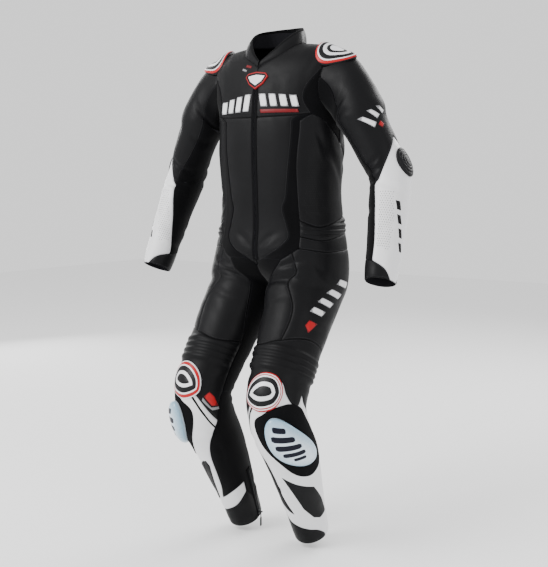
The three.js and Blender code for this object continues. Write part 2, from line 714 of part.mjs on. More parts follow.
// What lies on the body pieces, on both sides
const KNEE_CUP = rounded([[0.34, 988], [0.36, 958], [0.5, 936], [0.66, 938], [0.74, 966], [0.68, 994],
  [0.5, 1003]]);
const SLIDER_BASE = [[0.42, 1030], [0.56, 1006], [0.71, 992], [0.86, 986], [1, 1002], [1.12, 1060], [1.2, 1150],
  [1.13, 1184], [0.98, 1194], [0.86, 1190], [0.7, 1162], [0.55, 1100]];
const SHIN_INSERT = [[0.55, 1174], [0.7, 1204], [0.92, 1238], [1.03, 1294], [1.1, 1350], [0.93, 1352],
  [0.82, 1338], [0.7, 1296]];
const SLIDER = { at: 0.79, down: 1078, wide: 0.21, long: 66, slant: 0.35, corners: 14 };
const BASE_HIGH = 2.6;

// Crowned pieces: full height, width of the rounded shoulder and height of the rim
const CROWNS = {
  kneeSlider: crown(25, 26, 7),
  kneeCup: crown(9, 20, 2.5),
  elbowPad: crown(8, 22, 2.5),
  shoulderCup: crown(10, 24, 3.5),
};

const onBody = {
  shin_insert: [SHIN_INSERT, { inner: LAY_GAP, outer: LAY_GAP + PATCH }],
  slider_base: [SLIDER_BASE, { inner: LAY_GAP, outer: LAY_GAP + BASE_HIGH }],
  knee_slider: [ellipse(SLIDER, QUARTER), {
    inner: 2 * LAY_GAP + BASE_HIGH,
    outer: 2 * LAY_GAP + BASE_HIGH,
    rise: CROWNS.kneeSlider,
    fineU: 2,
    fineV: 2,
  }],
  knee_cup: [KNEE_CUP, { inner: LAY_GAP, outer: LAY_GAP, rise: CROWNS.kneeCup, fineU: 2, fineV: 2 }],
};

// Sleeve pieces, as [degrees, down] places: 0 at the outside, 90 in front and 180 at the inside
const sleeveSeams = {
  front: [[70, 0], [94, 44], [121, 100], [131, 188], [111, 292], [104, 352]],
  rear: [[-90, 0], [-100, 44], [-115, 100], [-128, 188], [-111, 292], [-104, 352]],
  elbow: [[104, 352], [60, 288], [-2, 228], [-60, 288], [-104, 352]],
  forearmFront: [[104, 352], [98, 430], [93, 504], [96, 555]],
  forearmRear: [[-104, 352], [-100, 430], [-96, 504], [-98, 555]],
  cuffFront: [[96, 555], [48, 575], [20, WRIST]],
  cuffRear: [[-98, 555], [-50, 575], [-20, WRIST]],
  cuffInner: [[96, 555], [180, 540], [262, 555]],
};
const ELBOW_PAD = { at: -4, down: 296, wide: 34, long: 36, corners: 12 };
const turnOn = (seam) => seam.map(([degrees, down]) => [degrees + 360, down]);

const sleevePieces = {
  sleeve_outer: [outlineOf(sleeveSeams.front, sleeveSeams.elbow, back(sleeveSeams.rear))],
  sleeve_inner: [
    outlineOf(sleeveSeams.front, sleeveSeams.forearmFront, sleeveSeams.cuffInner,
      back(turnOn(sleeveSeams.forearmRear)), back(turnOn(sleeveSeams.rear))),
    stretch,
  ],
  forearm: [outlineOf(sleeveSeams.forearmFront, sleeveSeams.cuffFront, back(sleeveSeams.cuffRear),
    back(sleeveSeams.forearmRear), back(sleeveSeams.elbow))],
  cuff: [outlineOf(back(sleeveSeams.cuffFront), sleeveSeams.cuffInner, turnOn(sleeveSeams.cuffRear))],
  elbow_pad: [
    ellipse(ELBOW_PAD, 1),
    { inner: LAY_GAP, outer: LAY_GAP, rise: CROWNS.elbowPad, fineU: 2, fineV: 2 },
  ],
};

// Finishes, as seen in daylight
const finish = (color, roughness, metalness = 0) => (
  new THREE.MeshStandardMaterial({ color, roughness, metalness })
);
const FINISHES = {
  leather: () => finish('#1d1d20', 0.5),
  stretch: () => finish('#121214', 0.9),
  white: () => finish('#e4e4e6', 0.5),
  hard: () => finish('#d9dadd', 0.35),
  base: () => finish('#0e0e10', 0.7),
  slider: () => finish('#c9dbe6', 0.3),
  tab: () => finish('#d8282c', 0.5),
  tape: () => finish('#17171a', 0.7),
  metal: () => finish('#3b3b3f', 0.4, 0.8),
};
const FINISH_OF = {
  armhole_stretch: 'stretch', front_band: 'stretch', inner_thigh: 'stretch', calf: 'stretch',
  sleeve_inner: 'stretch', shin: 'white', forearm: 'white', knee_cup: 'hard', shoulder_cup: 'hard',
  elbow_pad: 'base', slider_base: 'base', knee_slider: 'slider', throat_tab: 'tab', front_zip: 'tape',
  ankle_zip: 'tape', pull_tab: 'metal',
};

const model = new THREE.Group();

function addPiece(name, geometry) {
  const kind = name.replace(/_(left|right)$/, '');
  const mesh = new THREE.Mesh(geometry, FINISHES[FINISH_OF[kind] ?? 'leather']());
  mesh.name = name;
  model.add(mesh);
}

function addPair(kind, geometry) {
  addPiece(`${kind}_left`, geometry);
  addPiece(`${kind}_right`, mirrorGeometry(geometry));
}

for (const [kind, [outline, options]] of Object.entries({ ...bodyPieces, ...onBody })) {
  addPair(kind, piece(suit, outline, options));
}

// Under the arm the sleeve's inner piece is cut back clear of the body's cloth
const UNDER_ARM = { top: 90, low: 290, reach: 0.4 };
const underArm = roundArmhole(UNDER_ARM, { inner: -LEATHER - LAY_GAP, outer: LAY_GAP });
for (const [kind, [outline, options]] of Object.entries(sleevePieces)) {
  const onSide = (side) => {
    const geometry = piece(sleeves[side], outline, options);
    return kind === 'sleeve_inner' ? trimmed(geometry, underArm) : geometry;
  };
  addPiece(`${kind}_left`, onSide('left'));
  addPiece(`${kind}_right`, mirrorGeometry(onSide('right')));
}

// Front zip on the centre seam: a placket strip with the coil raised along its middle
const ZIP = { top: 160, low: 604, wide: 9, coil: 3, tape: 1, high: 2.4 };
function zipOutline({ top, low, wide }) {
  const at = (down) => {
    return wide / suit.metric(0.5, suit.rowOf(down), true).a / SIDE;
  };
  const steps = 6;
  const downs = Array.from({ length: steps + 1 }, (_, k) => top + (low - top) * k / steps);
  return [...downs.map((down) => [at(down), down]), ...downs.reverse().map((down) => [-at(down), down])];
}
addPiece('front_zip', piece(suit, zipOutline(ZIP), {
  mirrored: true,
  inner: LAY_GAP,
  outer: LAY_GAP + ZIP.tape,
  rise: (distance) => (distance > ZIP.wide - ZIP.coil ? ZIP.high - ZIP.tape : 0),
}));

// Shield patch below the collar
const THROAT_TAB = [[0.16, 117], [0.2, 126], [0.12, 143]];
const THROAT_TIP = 155;
addPiece('throat_tab', piece(suit, [
  ...THROAT_TAB,
  [0, THROAT_TIP],
  ...back(THROAT_TAB).map(([u, down]) => [-u, down]),
], { mirrored: true, inner: LAY_GAP, outer: LAY_GAP + PATCH }));

// Collar: a padded band from the neckline to its rim. Places on the rim, from the back to the front.
const COLLAR_RIM = table('x y z', [
  [0, 44, 56],
  [25, 40, 55],
  [48, 27, 52],
  [64, 8, 48],
  [71, -18, 40],
  [68, -44, 27],
  [54, -69, 7],
  [30, -92, -22],
  [2.5, -107, -47],
]);
const COLLAR = { wall: 3.4, lift: 0.5, centreGap: 0.4, steps: 12, middleY: -20, bulge: 0.9 };

// The neckline from the centre back over the shoulder to the centre front, through the net's own corners
function neckline(t) {
  const behind = t < 0.5;
  const V = NECK_ROWS * Math.abs(1 - 2 * t);
  const U = behind ? BODY_COLUMNS : 0;
  return suit.lay(U, V, COLLAR.lift);
}

function collarGeometry() {
  const rimCurve = new THREE.CatmullRomCurve3(COLLAR_RIM.map(({ x, y, z }) => vec(x, y, z)));
  const sections = [];
  for (let k = -COLLAR.steps; k <= COLLAR.steps; k += 1) {
    const t = 1 - Math.abs(k) / COLLAR.steps;
    const side = k < 0 ? 1 : -1;
    const foot = neckline(1 - t);
    const rim = rimCurve.getPoint(1 - t);
    const middle = foot.clone().lerp(rim, 0.5);
    const towards = vec(-middle.x, COLLAR.middleY - middle.y, 0);
    const inwards = towards.normalize().multiplyScalar(COLLAR.wall);
    const bulge = inwards.clone().multiplyScalar(-COLLAR.bulge);
    const ring = [
      foot,
      middle.clone().add(bulge),
      rim,
      rim.clone().add(inwards),
      middle.clone().add(bulge).add(inwards),
      foot.clone().add(inwards),
    ];
    ring.forEach((p) => {
      p.x = Math.max(p.x, Math.abs(k) === COLLAR.steps ? COLLAR.centreGap : 0);
      p.x *= side;
    });
    sections.push(ring);
  }
  return loft(sections);
}

// Joins rings of corners into a closed solid, with flat ends
function loft(sections) {
  const per = sections[0].length;
  const positions = sections.flat().flatMap((p) => p.toArray());
  const faces = [];
  for (let k = 0; k + 1 < sections.length; k += 1) {
    for (let c = 0; c < per; c += 1) {
      const d = (c + 1) % per;
      faces.push(k * per + c, k * per + d, (k + 1) * per + d);
      faces.push(k * per + c, (k + 1) * per + d, (k + 1) * per + c);
    }
  }
  const last = (sections.length - 1) * per;
  for (let c = 1; c + 1 < per; c += 1) {
    faces.push(0, c + 1, c);
    faces.push(last, last + c, last + c + 1);
  }
  return facesOutwards(positions, faces);
}
addPiece('collar', collarGeometry());

// Shoulder cups lie over the armhole seam. A ray finds the cloth under each corner.
const CUP = {
  centre: vec(198, -34, -16),
  up: vec(0.42, -0.28, 0.86).normalize(),
  along: 54,
  across: 50,
  rear: 0.72,
  gap: 0.4,
  pinch: 0.09,
  sunk: 8,
  turns: 14,
  rings: 3,
};
const CUP_ROOM = { top: 0, low: 140, reach: 0.65 };
const CUP_ON_SLEEVE = [[-140, 0], [140, 0], [140, 150], [-140, 150]];
const RAY = { from: 100, missed: -30 };

function netMesh(form, lowU, highU, lowV, highV) {
  const positions = [];
  for (let U = lowU; U < highU; U += 1) {
    for (let V = lowV; V < highV; V += 1) {
      const e = 1e-4;
      const a = form.lay(U + e, V, 0);
      const b = form.lay(U + 1 - e, V, 0);
      const c = form.lay(U + 1 - e, V + 1 - e, 0);
      const d = form.lay(U + e, V + 1 - e, 0);
      [a, b, c, a, c, d].forEach((p) => positions.push(...p.toArray()));
    }
  }
  const geometry = new THREE.BufferGeometry();
  geometry.setAttribute('position', new THREE.Float32BufferAttribute(positions, 3));
  return new THREE.Mesh(geometry, new THREE.MeshBasicMaterial({ side: THREE.DoubleSide }));
}

function shoulderCup() {
  const nets = [
    netMesh(suit, SIDE - 4, SIDE, 0, 4),
    netMesh(suit, SIDE, SIDE + 4, 0, 4),
    netMesh(leftSleeve, -4, 5, 0, 3),
  ];
  const e1 = vec(1, 0, 0).addScaledVector(CUP.up, -CUP.up.x).normalize();
  const e2 = CUP.up.clone().cross(e1);
  const ray = new THREE.Raycaster();
  const height = (x, y) => {
    const from = CUP.centre.clone()
      .addScaledVector(e1, x)
      .addScaledVector(e2, y)
      .addScaledVector(CUP.up, RAY.from);
    ray.set(from, CUP.up.clone().negate());
    const hits = ray.intersectObjects(nets);
    return hits.length ? RAY.from - hits[0].distance : RAY.missed;
  };
  const top = [];
  const low = [];
  for (let r = 0; r <= CUP.rings; r += 1) {
    for (let k = 0; k < (r === 0 ? 1 : CUP.turns); k += 1) {
      const angle = 2 * Math.PI * k / CUP.turns;
      const pinch = 1 + CUP.pinch * Math.cos(3 * angle);
      const share = r / CUP.rings;
      const x = CUP.along * share * pinch * Math.cos(angle);
      const y = CUP.across * share * pinch * Math.sin(angle) * (angle < Math.PI ? CUP.rear : 1);
      const h = height(x, y);
      const place = CUP.centre.clone().addScaledVector(e1, x).addScaledVector(e2, y);
      low.push(place.clone().addScaledVector(CUP.up, h - CUP.sunk));
      top.push(place.clone().addScaledVector(CUP.up, h + CROWNS.shoulderCup((1 - share) * CUP.across)));
    }
  }
  const id = (r, k) => (r === 0 ? 0 : 1 + (r - 1) * CUP.turns + (k % CUP.turns));
  const faces = [];
  const count = top.length;
  for (let r = 0; r < CUP.rings; r += 1) {
    for (let k = 0; k < CUP.turns; k += 1) {
      const cell = [id(r, k), id(r + 1, k), id(r + 1, k + 1), id(r, k + 1)];
      const tris = r === 0 ? [[0, 1, 2]] : [[0, 1, 2], [0, 2, 3]];
      for (const [a, b, c] of tris) {
        faces.push(cell[a], cell[b], cell[c]);
        faces.push(cell[a] + count, cell[c] + count, cell[b] + count);
      }
    }
  }
  for (let k = 0; k < CUP.turns; k += 1) {
    const p = id(CUP.rings, k);
    const q = id(CUP.rings, k + 1);
    faces.push(p, p + count, q + count, p, q + count, q);
  }
  const lens = facesOutwards([...top, ...low].flatMap((p) => p.toArray()), faces);
  const depths = { inner: -2 * CUP.sunk, outer: CUP.gap };
  const onSleeve = piece(leftSleeve, CUP_ON_SLEEVE, { ...depths, inset: 0 });
  return trimmed(lens, [...roundArmhole(CUP_ROOM, depths), onSleeve]);
}

addPair('shoulder_cup', shoulderCup());

// Ankle zips: a strip up the inside of the ankle, closed downwards, with the slider near the hem
const ANKLE_ZIP = { u: 1.95, top: 1250, low: 1426, wide: 7, tape: 1.2, sliderDown: 1412 };
const ZIP_SLIDER = {
  wide: 9, long: 13, high: 3.4, post: 1.6, postLong: 4, barHigh: 9, bar: 1.8, gap: 5.2, sunk: 0.5,
};
const TAB = { wide: 4.4, long: 42, eye: 5.4, hole: 2.8, grip: 9, gripLong: 26, thick: 3 };

// The slider's own frame: x along its level bar, y up and z away from the leg
function sliderFrame() {
  const U = ANKLE_ZIP.u * SIDE;
  const V = suit.rowOf(ANKLE_ZIP.sliderDown);
  const place = suit.lay(U, V, LAY_GAP + ANKLE_ZIP.tape - ZIP_SLIDER.sunk);
  const away = suit.lay(U, V, 1).sub(suit.lay(U, V, 0));
  away.z = 0;
  away.normalize();
  const up = vec(0, 0, 1);
  const across = up.clone().cross(away);
  return new THREE.Matrix4().makeBasis(across, up, away).setPosition(place);
}

function boxAt(wide, long, high, x, y, z, matrix) {
  return new THREE.BoxGeometry(wide, long, high).translate(x, y, z).applyMatrix4(matrix);
}

const slider = sliderFrame();
const barOut = ZIP_SLIDER.high + ZIP_SLIDER.barHigh / 2;

function ankleZip() {
  const at = (down) => ANKLE_ZIP.wide / suit.metric(ANKLE_ZIP.u * SIDE, suit.rowOf(down)).a / SIDE;
  const downs = [ANKLE_ZIP.top, (ANKLE_ZIP.top + ANKLE_ZIP.low) / 2, ANKLE_ZIP.low];
  const strip = piece(suit, [
    ...downs.map((down) => [ANKLE_ZIP.u + at(down), down]),
    ...[...downs].reverse().map((down) => [ANKLE_ZIP.u - at(down), down]),
  ], { inner: LAY_GAP, outer: LAY_GAP + ANKLE_ZIP.tape });
  const { wide, long, high, post, postLong, barHigh, bar, gap, sunk } = ZIP_SLIDER;
  const postAt = high + (barHigh - sunk) / 2;
  const side = gap / 2 + post / 2;
  const parts = [
    boxAt(wide, long, high, 0, 0, high / 2, slider),
    boxAt(post, postLong, barHigh, side, 0, postAt, slider),
    boxAt(post, postLong, barHigh, -side, 0, postAt, slider),
    boxAt(gap + post, bar, bar, 0, 0, barOut, slider),
  ];
  return geometryOf(parts.reduce((sum, part) => sum.add(solidOf(part)), solidOf(strip)));
}
addPair('ankle_zip', ankleZip());

// The pull tab hangs straight down from the slider's bar: an eye, a neck and a grip
function pullTab() {
  const shoulder = -TAB.long + TAB.gripLong;
  const half = [
    [TAB.wide / 2, 0],
    [TAB.wide / 2, shoulder],
    [TAB.grip / 2, shoulder - 3],
    [TAB.grip / 2, -TAB.long + 3],
    [TAB.grip / 4, -TAB.long],
  ];
  const outline = [...half, ...back(half).map(([x, y]) => [-x, y])];
  const plate = new THREE.ExtrudeGeometry(
    new THREE.Shape(outline.map(([x, y]) => new THREE.Vector2(x, y))),
    { depth: TAB.thick, bevelEnabled: false },
  ).translate(0, 0, barOut - TAB.thick / 2).applyMatrix4(slider);
  const eye = boxAt(TAB.wide, TAB.eye, TAB.eye, 0, 0, barOut, slider);
  const hole = boxAt(TAB.wide + 2, TAB.hole, TAB.hole, 0, 0, barOut, slider);
  return geometryOf(solidOf(plate).add(solidOf(eye)).subtract(solidOf(hole)));
}
addPair('pull_tab', pullTab());

export default model;
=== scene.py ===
# Motorcycle race suit: the visible surface of every piece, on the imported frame.
# Tables and outlines are in millimetres, down the cloth from the shoulder line, as in the part's source.
import math
from dataclasses import dataclass
import bmesh
import bpy
import numpy as np
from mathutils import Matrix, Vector
from mathutils.bvhtree import BVHTree
from mathutils.geometry import delaunay_2d_cdt


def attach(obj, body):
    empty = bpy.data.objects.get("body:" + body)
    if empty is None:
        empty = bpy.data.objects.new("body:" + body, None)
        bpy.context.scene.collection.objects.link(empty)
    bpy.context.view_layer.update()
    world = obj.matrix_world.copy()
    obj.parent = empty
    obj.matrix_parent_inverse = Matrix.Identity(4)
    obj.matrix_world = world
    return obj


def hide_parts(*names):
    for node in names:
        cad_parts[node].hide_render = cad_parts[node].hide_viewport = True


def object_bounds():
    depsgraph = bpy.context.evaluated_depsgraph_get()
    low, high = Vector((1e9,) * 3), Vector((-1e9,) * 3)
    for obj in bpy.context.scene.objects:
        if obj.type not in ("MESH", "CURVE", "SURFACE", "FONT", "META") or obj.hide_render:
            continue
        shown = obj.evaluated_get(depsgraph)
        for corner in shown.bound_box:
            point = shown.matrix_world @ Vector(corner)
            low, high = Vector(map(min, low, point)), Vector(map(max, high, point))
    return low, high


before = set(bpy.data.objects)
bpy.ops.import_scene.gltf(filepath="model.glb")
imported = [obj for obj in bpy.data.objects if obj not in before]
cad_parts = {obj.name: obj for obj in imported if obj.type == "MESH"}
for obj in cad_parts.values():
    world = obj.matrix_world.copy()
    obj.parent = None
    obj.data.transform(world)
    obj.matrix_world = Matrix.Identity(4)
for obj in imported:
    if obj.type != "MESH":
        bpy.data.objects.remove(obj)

CAD_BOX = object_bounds()
MM = 0.001

# Camera, as the photograph was taken: from the wearer's left front, a little above the hips
CAMERA_PLACE = (1.4728, -2.1427, -0.366)
CAMERA_AIM = (-0.0185, -0.0129, -0.650)
CAMERA_LENS = 58.9

camera_data = bpy.data.cameras.new("camera")
camera_data.lens = CAMERA_LENS
camera = bpy.data.objects.new("camera", camera_data)
bpy.context.scene.collection.objects.link(camera)
camera.location = CAMERA_PLACE
camera.rotation_mode = "QUATERNION"
camera.rotation_quaternion = (Vector(CAMERA_AIM) - Vector(CAMERA_PLACE)).to_track_quat("-Z", "Y")
bpy.context.scene.camera = camera

# Stations down the suit, measured along the cloth from the shoulder line
NECK_FRONT = 105
ARMPIT = 235
CROTCH = 685
ANKLE = 1430
WRIST = 600
ARM_TURNS = 12
LEATHER = 2.2
STRETCH = 1.8

# Flat millimetres for each unit of u round the body or a leg
AROUND = 250


def table(columns, rows):
    """Rows of numbers as rows with named columns."""
    return [dict(zip(columns.split(), row)) for row in rows]


# Body sections above the waist: quarter arcs from the front edge f to the side s, and from the side b to the
# back edge k
BODY = table("down fx fy fz sx sy sz bx by bz kx ky kz bulge_front bulge_back", [
    (0, 84, -28, 2, 186, -22, -22, 186, -22, -22, 84, -28, 2, 1.2, 1.2),
    (35, 78, -58, -8, 178, -58, -50, 184, 12, -45, 66, 20, 6, 1.3, 1.3),
    (70, 56, -88, -32, 171, -74, -85, 181, 38, -85, 30, 46, 7, 1.5, 1.5),
    (NECK_FRONT, 0, -112, -66, 167, -78, -120, 179, 50, -120, 0, 66, -20, 1.7, 1.7),
    (150, 0, -124, -120, 169, -70, -155, 180, 50, -155, 0, 88, -75, 1.8, 1.9),
    (200, 0, -131, -190, 180, -30, -190, 184, 30, -190, 0, 102, -150, 2.0, 2.1),
    (ARMPIT, 0, -133, -235, 186, -2, -208, 186, -2, -208, 0, 106, -210, 2.2, 2.2),
    (300, 0, -133, -300, 184, -2, -295, 184, -2, -295, 0, 106, -300, 2.3, 2.3),
    (400, 0, -128, -400, 178, 2, -400, 178, 2, -400, 0, 98, -400, 2.3, 2.3),
])

# Hip and leg rings: centre, tilt, half width, depth in front and behind, roundness
LEG = table("down x y z tilt wide front back bulge", [
    (490, 0, 5, -490, 0, 188, 131, 97, 2.3),
    (560, 35, 0, -555, 5, 164, 132, 114, 2.2),
    (610, 62, -6, -602, 12, 141, 129, 122, 2.15),
    (650, 84, -18, -640, 18, 120, 121, 116, 2.1),
    (CROTCH, 99, -34, -672, 24, 99, 111, 106, 2.05),
    (760, 107, -82, -735, 30, 94, 98, 88, 2.0),
    (850, 112, -132, -811, 31, 87, 90, 78, 2.0),
    (930, 117, -174, -879, 26, 82, 86, 72, 2.0),
    (997, 121, -198, -940, 4, 78, 83, 70, 2.0),
    (1060, 123, -184, -1003, -20, 76, 80, 74, 2.0),
    (1140, 123, -144, -1077, -24, 72, 74, 76, 2.0),
    (1220, 121, -107, -1150, -24, 65, 68, 71, 2.0),
    (1300, 119, -72, -1224, -24, 57, 60, 62, 2.0),
    (1380, 117, -40, -1297, -23, 50, 53, 55, 2.0),
    (ANKLE, 116, -20, -1342, -23, 47, 50, 52, 2.0),
])

# Sleeve rings below the armhole: centre, lean of the outer side, half width and half depth
ARM = table("down x y z lean wide deep", [
    (45, 212, -18, -128, 11, 89, 66),
    (85, 235, -21, -150, 22, 80, 65),
    (130, 258, -22, -186, 34, 68, 62),
    (180, 280, -20, -230, 48, 58, 59),
    (240, 309, -15, -285, 60, 55, 58),
    (315, 340, -6, -350, 68, 53, 60),
    (380, 351, -28, -412, 80, 51, 58),
    (460, 360, -58, -486, 82, 47, 53),
    (540, 367, -87, -560, 82, 43, 47),
    (WRIST, 372, -109, -614, 82, 39, 43),
])
RIGHT_TWIST = {"from": 330, "to": 560, "degrees": 70}


def smooth(low, high, value):
    """Soft step from 0 at low to 1 at high."""
    t = np.clip((value - low) / (high - low), 0, 1)
    return t * t * (3 - 2 * t)


def body_section(row, u, behind):
    """Points of one body section; u runs from 0 at the front edge over 1 at the side to 2 at the back."""
    turn = np.where(behind, u - 1, 1 - u) * math.pi / 2
    bulge = np.where(behind, row["bulge_back"], row["bulge_front"])
    edge = np.where(behind[:, None], [row["kx"], row["ky"], row["kz"]], [row["fx"], row["fy"], row["fz"]])
    side = np.where(behind[:, None], [row["bx"], row["by"], row["bz"]], [row["sx"], row["sy"], row["sz"]])
    across = np.maximum(np.cos(turn), 0) ** (2 / bulge)
    along = np.maximum(np.sin(turn), 0) ** (2 / bulge)
    return np.stack([
        edge[:, 0] + (side[:, 0] - edge[:, 0]) * across,
        side[:, 1] + (edge[:, 1] - side[:, 1]) * along,
        side[:, 2] + (edge[:, 2] - side[:, 2]) * np.sin(turn),
    ], axis=1)


def leg_section(row, u, behind):
    """Points of one hip or leg ring; u runs from 0 at the inner front over 1 outside to 2 behind."""
    reach = min(1, row["x"] / row["wide"])
    cut = math.acos(-(reach ** (row["bulge"] / 2))) if row["x"] > 0 else math.pi / 2
    turn = np.where(behind, u - 1, 1 - u) * cut
    cosine = np.cos(turn)
    across = np.sign(cosine) * np.abs(cosine) ** (2 / row["bulge"])
    along = np.abs(np.sin(turn)) ** (2 / row["bulge"])
    depth = np.where(behind, -row["back"], row["front"]) * along
    tilt = math.radians(row["tilt"])
    return np.stack([
        row["x"] + row["wide"] * across,
        row["y"] - math.cos(tilt) * depth,
        row["z"] + math.sin(tilt) * depth,
    ], axis=1)


def through(downs, section, down, *place):
    """Smooth curve through the sections, at a station down the cloth for each place."""
    out = np.empty((len(down), 3))
    last = len(downs) - 1
    spans = np.clip(np.searchsorted(downs, down, side="right") - 1, 0, last - 1)
    for k in np.unique(spans):
        chosen = spans == k
        here = [values[chosen] for values in place]
        at = {j: section(j, *here) for j in range(max(k - 1, 0), min(k + 2, last) + 1)}
        span = downs[k + 1] - downs[k]
        t = ((down[chosen] - downs[k]) / span)[:, None]

        def slope(i):
            low, high = max(i - 1, 0), min(i + 1, last)
            return (at[high] - at[low]) * (span / (downs[high] - downs[low]))

        out[chosen] = (
            at[k] * (2 * t**3 - 3 * t**2 + 1) + at[k + 1] * (-2 * t**3 + 3 * t**2)
            + slope(k) * (t**3 - 2 * t**2 + t) + slope(k + 1) * (t**3 - t**2)
        )
    return out


SECTIONS = [(body_section, row) for row in BODY] + [(leg_section, row) for row in LEG]
SECTION_DOWNS = np.array([row["down"] for _, row in SECTIONS], float)


def suit_at(u, down, behind):
    """Places on the smooth form of the body and the leg."""
    def section(k, places, rear):
        shape, row = SECTIONS[k]
        return shape(row, places, rear)
    return through(SECTION_DOWNS, section, down, u, behind)


def suit_place(u, down, rear):
    """Places on the left half. Below the crotch u wraps round the leg, and its inside is closed."""
    leg = down > CROTCH
    u = np.where(leg & (u < 0), u + 2, np.where(leg & (u > 2), u - 2, u))
    behind = (u > 1) | (rear & (u >= 1 - 1e-9))
    place = suit_at(u, down, behind)
    ends = np.ones(len(u), bool)
    apart = suit_at(np.full(len(u), 2.0), down, ends) - suit_at(np.zeros(len(u)), down, ~ends)
    share = np.where(leg, np.where(behind, -0.5, 0.5) * (u - 1) ** 2, 0)
    return place + apart * share[:, None]


# Rows of the part's net above the armpit, which the sleeve's turns follow
ARMHOLE_ROWS = [NECK_FRONT * k / 3 for k in range(3)]
ARMHOLE_ROWS += [NECK_FRONT + (ARMPIT - NECK_FRONT) * k / 3 for k in range(4)]


def armhole(angle):
    """The armhole, which is where a sleeve begins."""
    turns = np.mod(angle, 2 * math.pi) * ARM_TURNS / (2 * math.pi)
    front = turns <= ARM_TURNS / 2
    down = np.interp(np.where(front, turns, ARM_TURNS - turns), range(len(ARMHOLE_ROWS)), ARMHOLE_ROWS)
    return suit_at(np.ones(len(down)), down, ~front)


def unit(vectors):
    """Vectors with their lengths made 1."""
    return vectors / np.maximum(np.linalg.norm(vectors, axis=-1, keepdims=True), 1e-9)


def sleeve_sections(side):
    """Centre, outward and forward half widths, and twist of each sleeve ring."""
    axis = np.array([[row["x"], row["y"], row["z"]] for row in ARM], float)
    rings = []
    for k, row in enumerate(ARM):
        along = unit(axis[min(k + 1, len(ARM) - 1)] - axis[max(k - 1, 0)])
        lean = math.radians(row["lean"])
        out = np.array([math.sin(lean), 0, math.cos(lean)])
        if k > 1:
            out = unit(out - along * out.dot(along))
        forward = np.cross(along, out)
        forward *= -1 if forward[1] > 0 else 1
        grown = float(smooth(RIGHT_TWIST["from"], RIGHT_TWIST["to"], row["down"]))
        twist = math.radians(RIGHT_TWIST["degrees"]) * grown if side < 0 else 0.0
        rings.append((axis[k], out * row["wide"], forward * row["deep"], twist))
    return rings


SLEEVES = {side: sleeve_sections(side) for side in (1, -1)}
SLEEVE_DOWNS = np.array([0] + [row["down"] for row in ARM], float)


def sleeve_place(side):
    """The places of one sleeve, whose degrees run round it from its outer side towards the front."""
    def place(degrees, down, rear):
        def section(k, angle):
            if k == 0:
                return armhole(angle)
            centre, out, forward, twist = SLEEVES[side][k - 1]
            turned = angle + twist
            return centre + np.cos(turned)[:, None] * out + np.sin(turned)[:, None] * forward
        return through(SLEEVE_DOWNS, section, down, np.radians(degrees))
    return place


@dataclass(eq=False)
class Form:
    """A surface to lay cloth on: place(a, down, rear) in millimetres, and the width across of one unit of a.

    Normals are taken over a step of a. A quarter is as many units of a, out is the side that the outer
    face looks to, and turn is the radians round the form in one unit of a.
    """

    place: object
    across: float
    step: float
    quarter: float
    out: int
    turn: float

    def normals(self, a, down, rear):
        """Outward normals. Differences are taken towards the middle of each quarter."""
        here = self.place(a, down, rear)
        inward = np.where(np.mod(a, self.quarter) > self.quarter / 2, -1, 1)
        beside = self.place(a + inward * self.step, down, rear)
        below = self.place(a, down + 0.5, rear)
        above = self.place(a, np.maximum(down - 0.5, 0), rear)
        return here, unit(np.cross(below - above, (beside - here) * inward[:, None]) * self.out)

    def lay(self, a, down, height, rear):
        here, normal = self.normals(a, down, rear)
        return here + normal * height[:, None]


SUIT = Form(suit_place, AROUND, 0.004, 1.0, 1, math.pi)
SLEEVE = {side: Form(sleeve_place(side), 1.0, 0.5, 90.0, -1, math.pi / 180) for side in (1, -1)}

# Places by their true distance from the middle plane, for what crosses the centre front
CENTRE_DOWNS = np.arange(84.0, 640.0, 4.0)
CENTRE_US = np.linspace(0, 0.6, 90) ** 1.5
CENTRE_NET = np.stack([
    suit_at(CENTRE_US, np.full(len(CENTRE_US), down), np.zeros(len(CENTRE_US), bool)) for down in CENTRE_DOWNS
])


def centre_u(x, down):
    """The u of places x millimetres from the middle plane."""
    pitch = CENTRE_DOWNS[1] - CENTRE_DOWNS[0]
    row = np.clip((down - CENTRE_DOWNS[0]) / pitch, 0, len(CENTRE_DOWNS) - 1.001)
    low = row.astype(int)
    share = row - low
    out = np.empty(len(x))
    for k in range(len(x)):
        at = [np.interp(abs(x[k]), CENTRE_NET[low[k] + j, :, 0], CENTRE_US) for j in (0, 1)]
        out[k] = at[0] * (1 - share[k]) + at[1] * share[k]
    return out


def centre_place(x, down, rear):
    """Places on the front of the suit by their distance from the middle plane."""
    place = suit_at(np.maximum(centre_u(x, down), 1e-6), down, np.zeros(len(x), bool))
    place[:, 0] = x
    return place


CENTRE = Form(centre_place, 1.0, 1.0, 1e6, 1, math.pi)


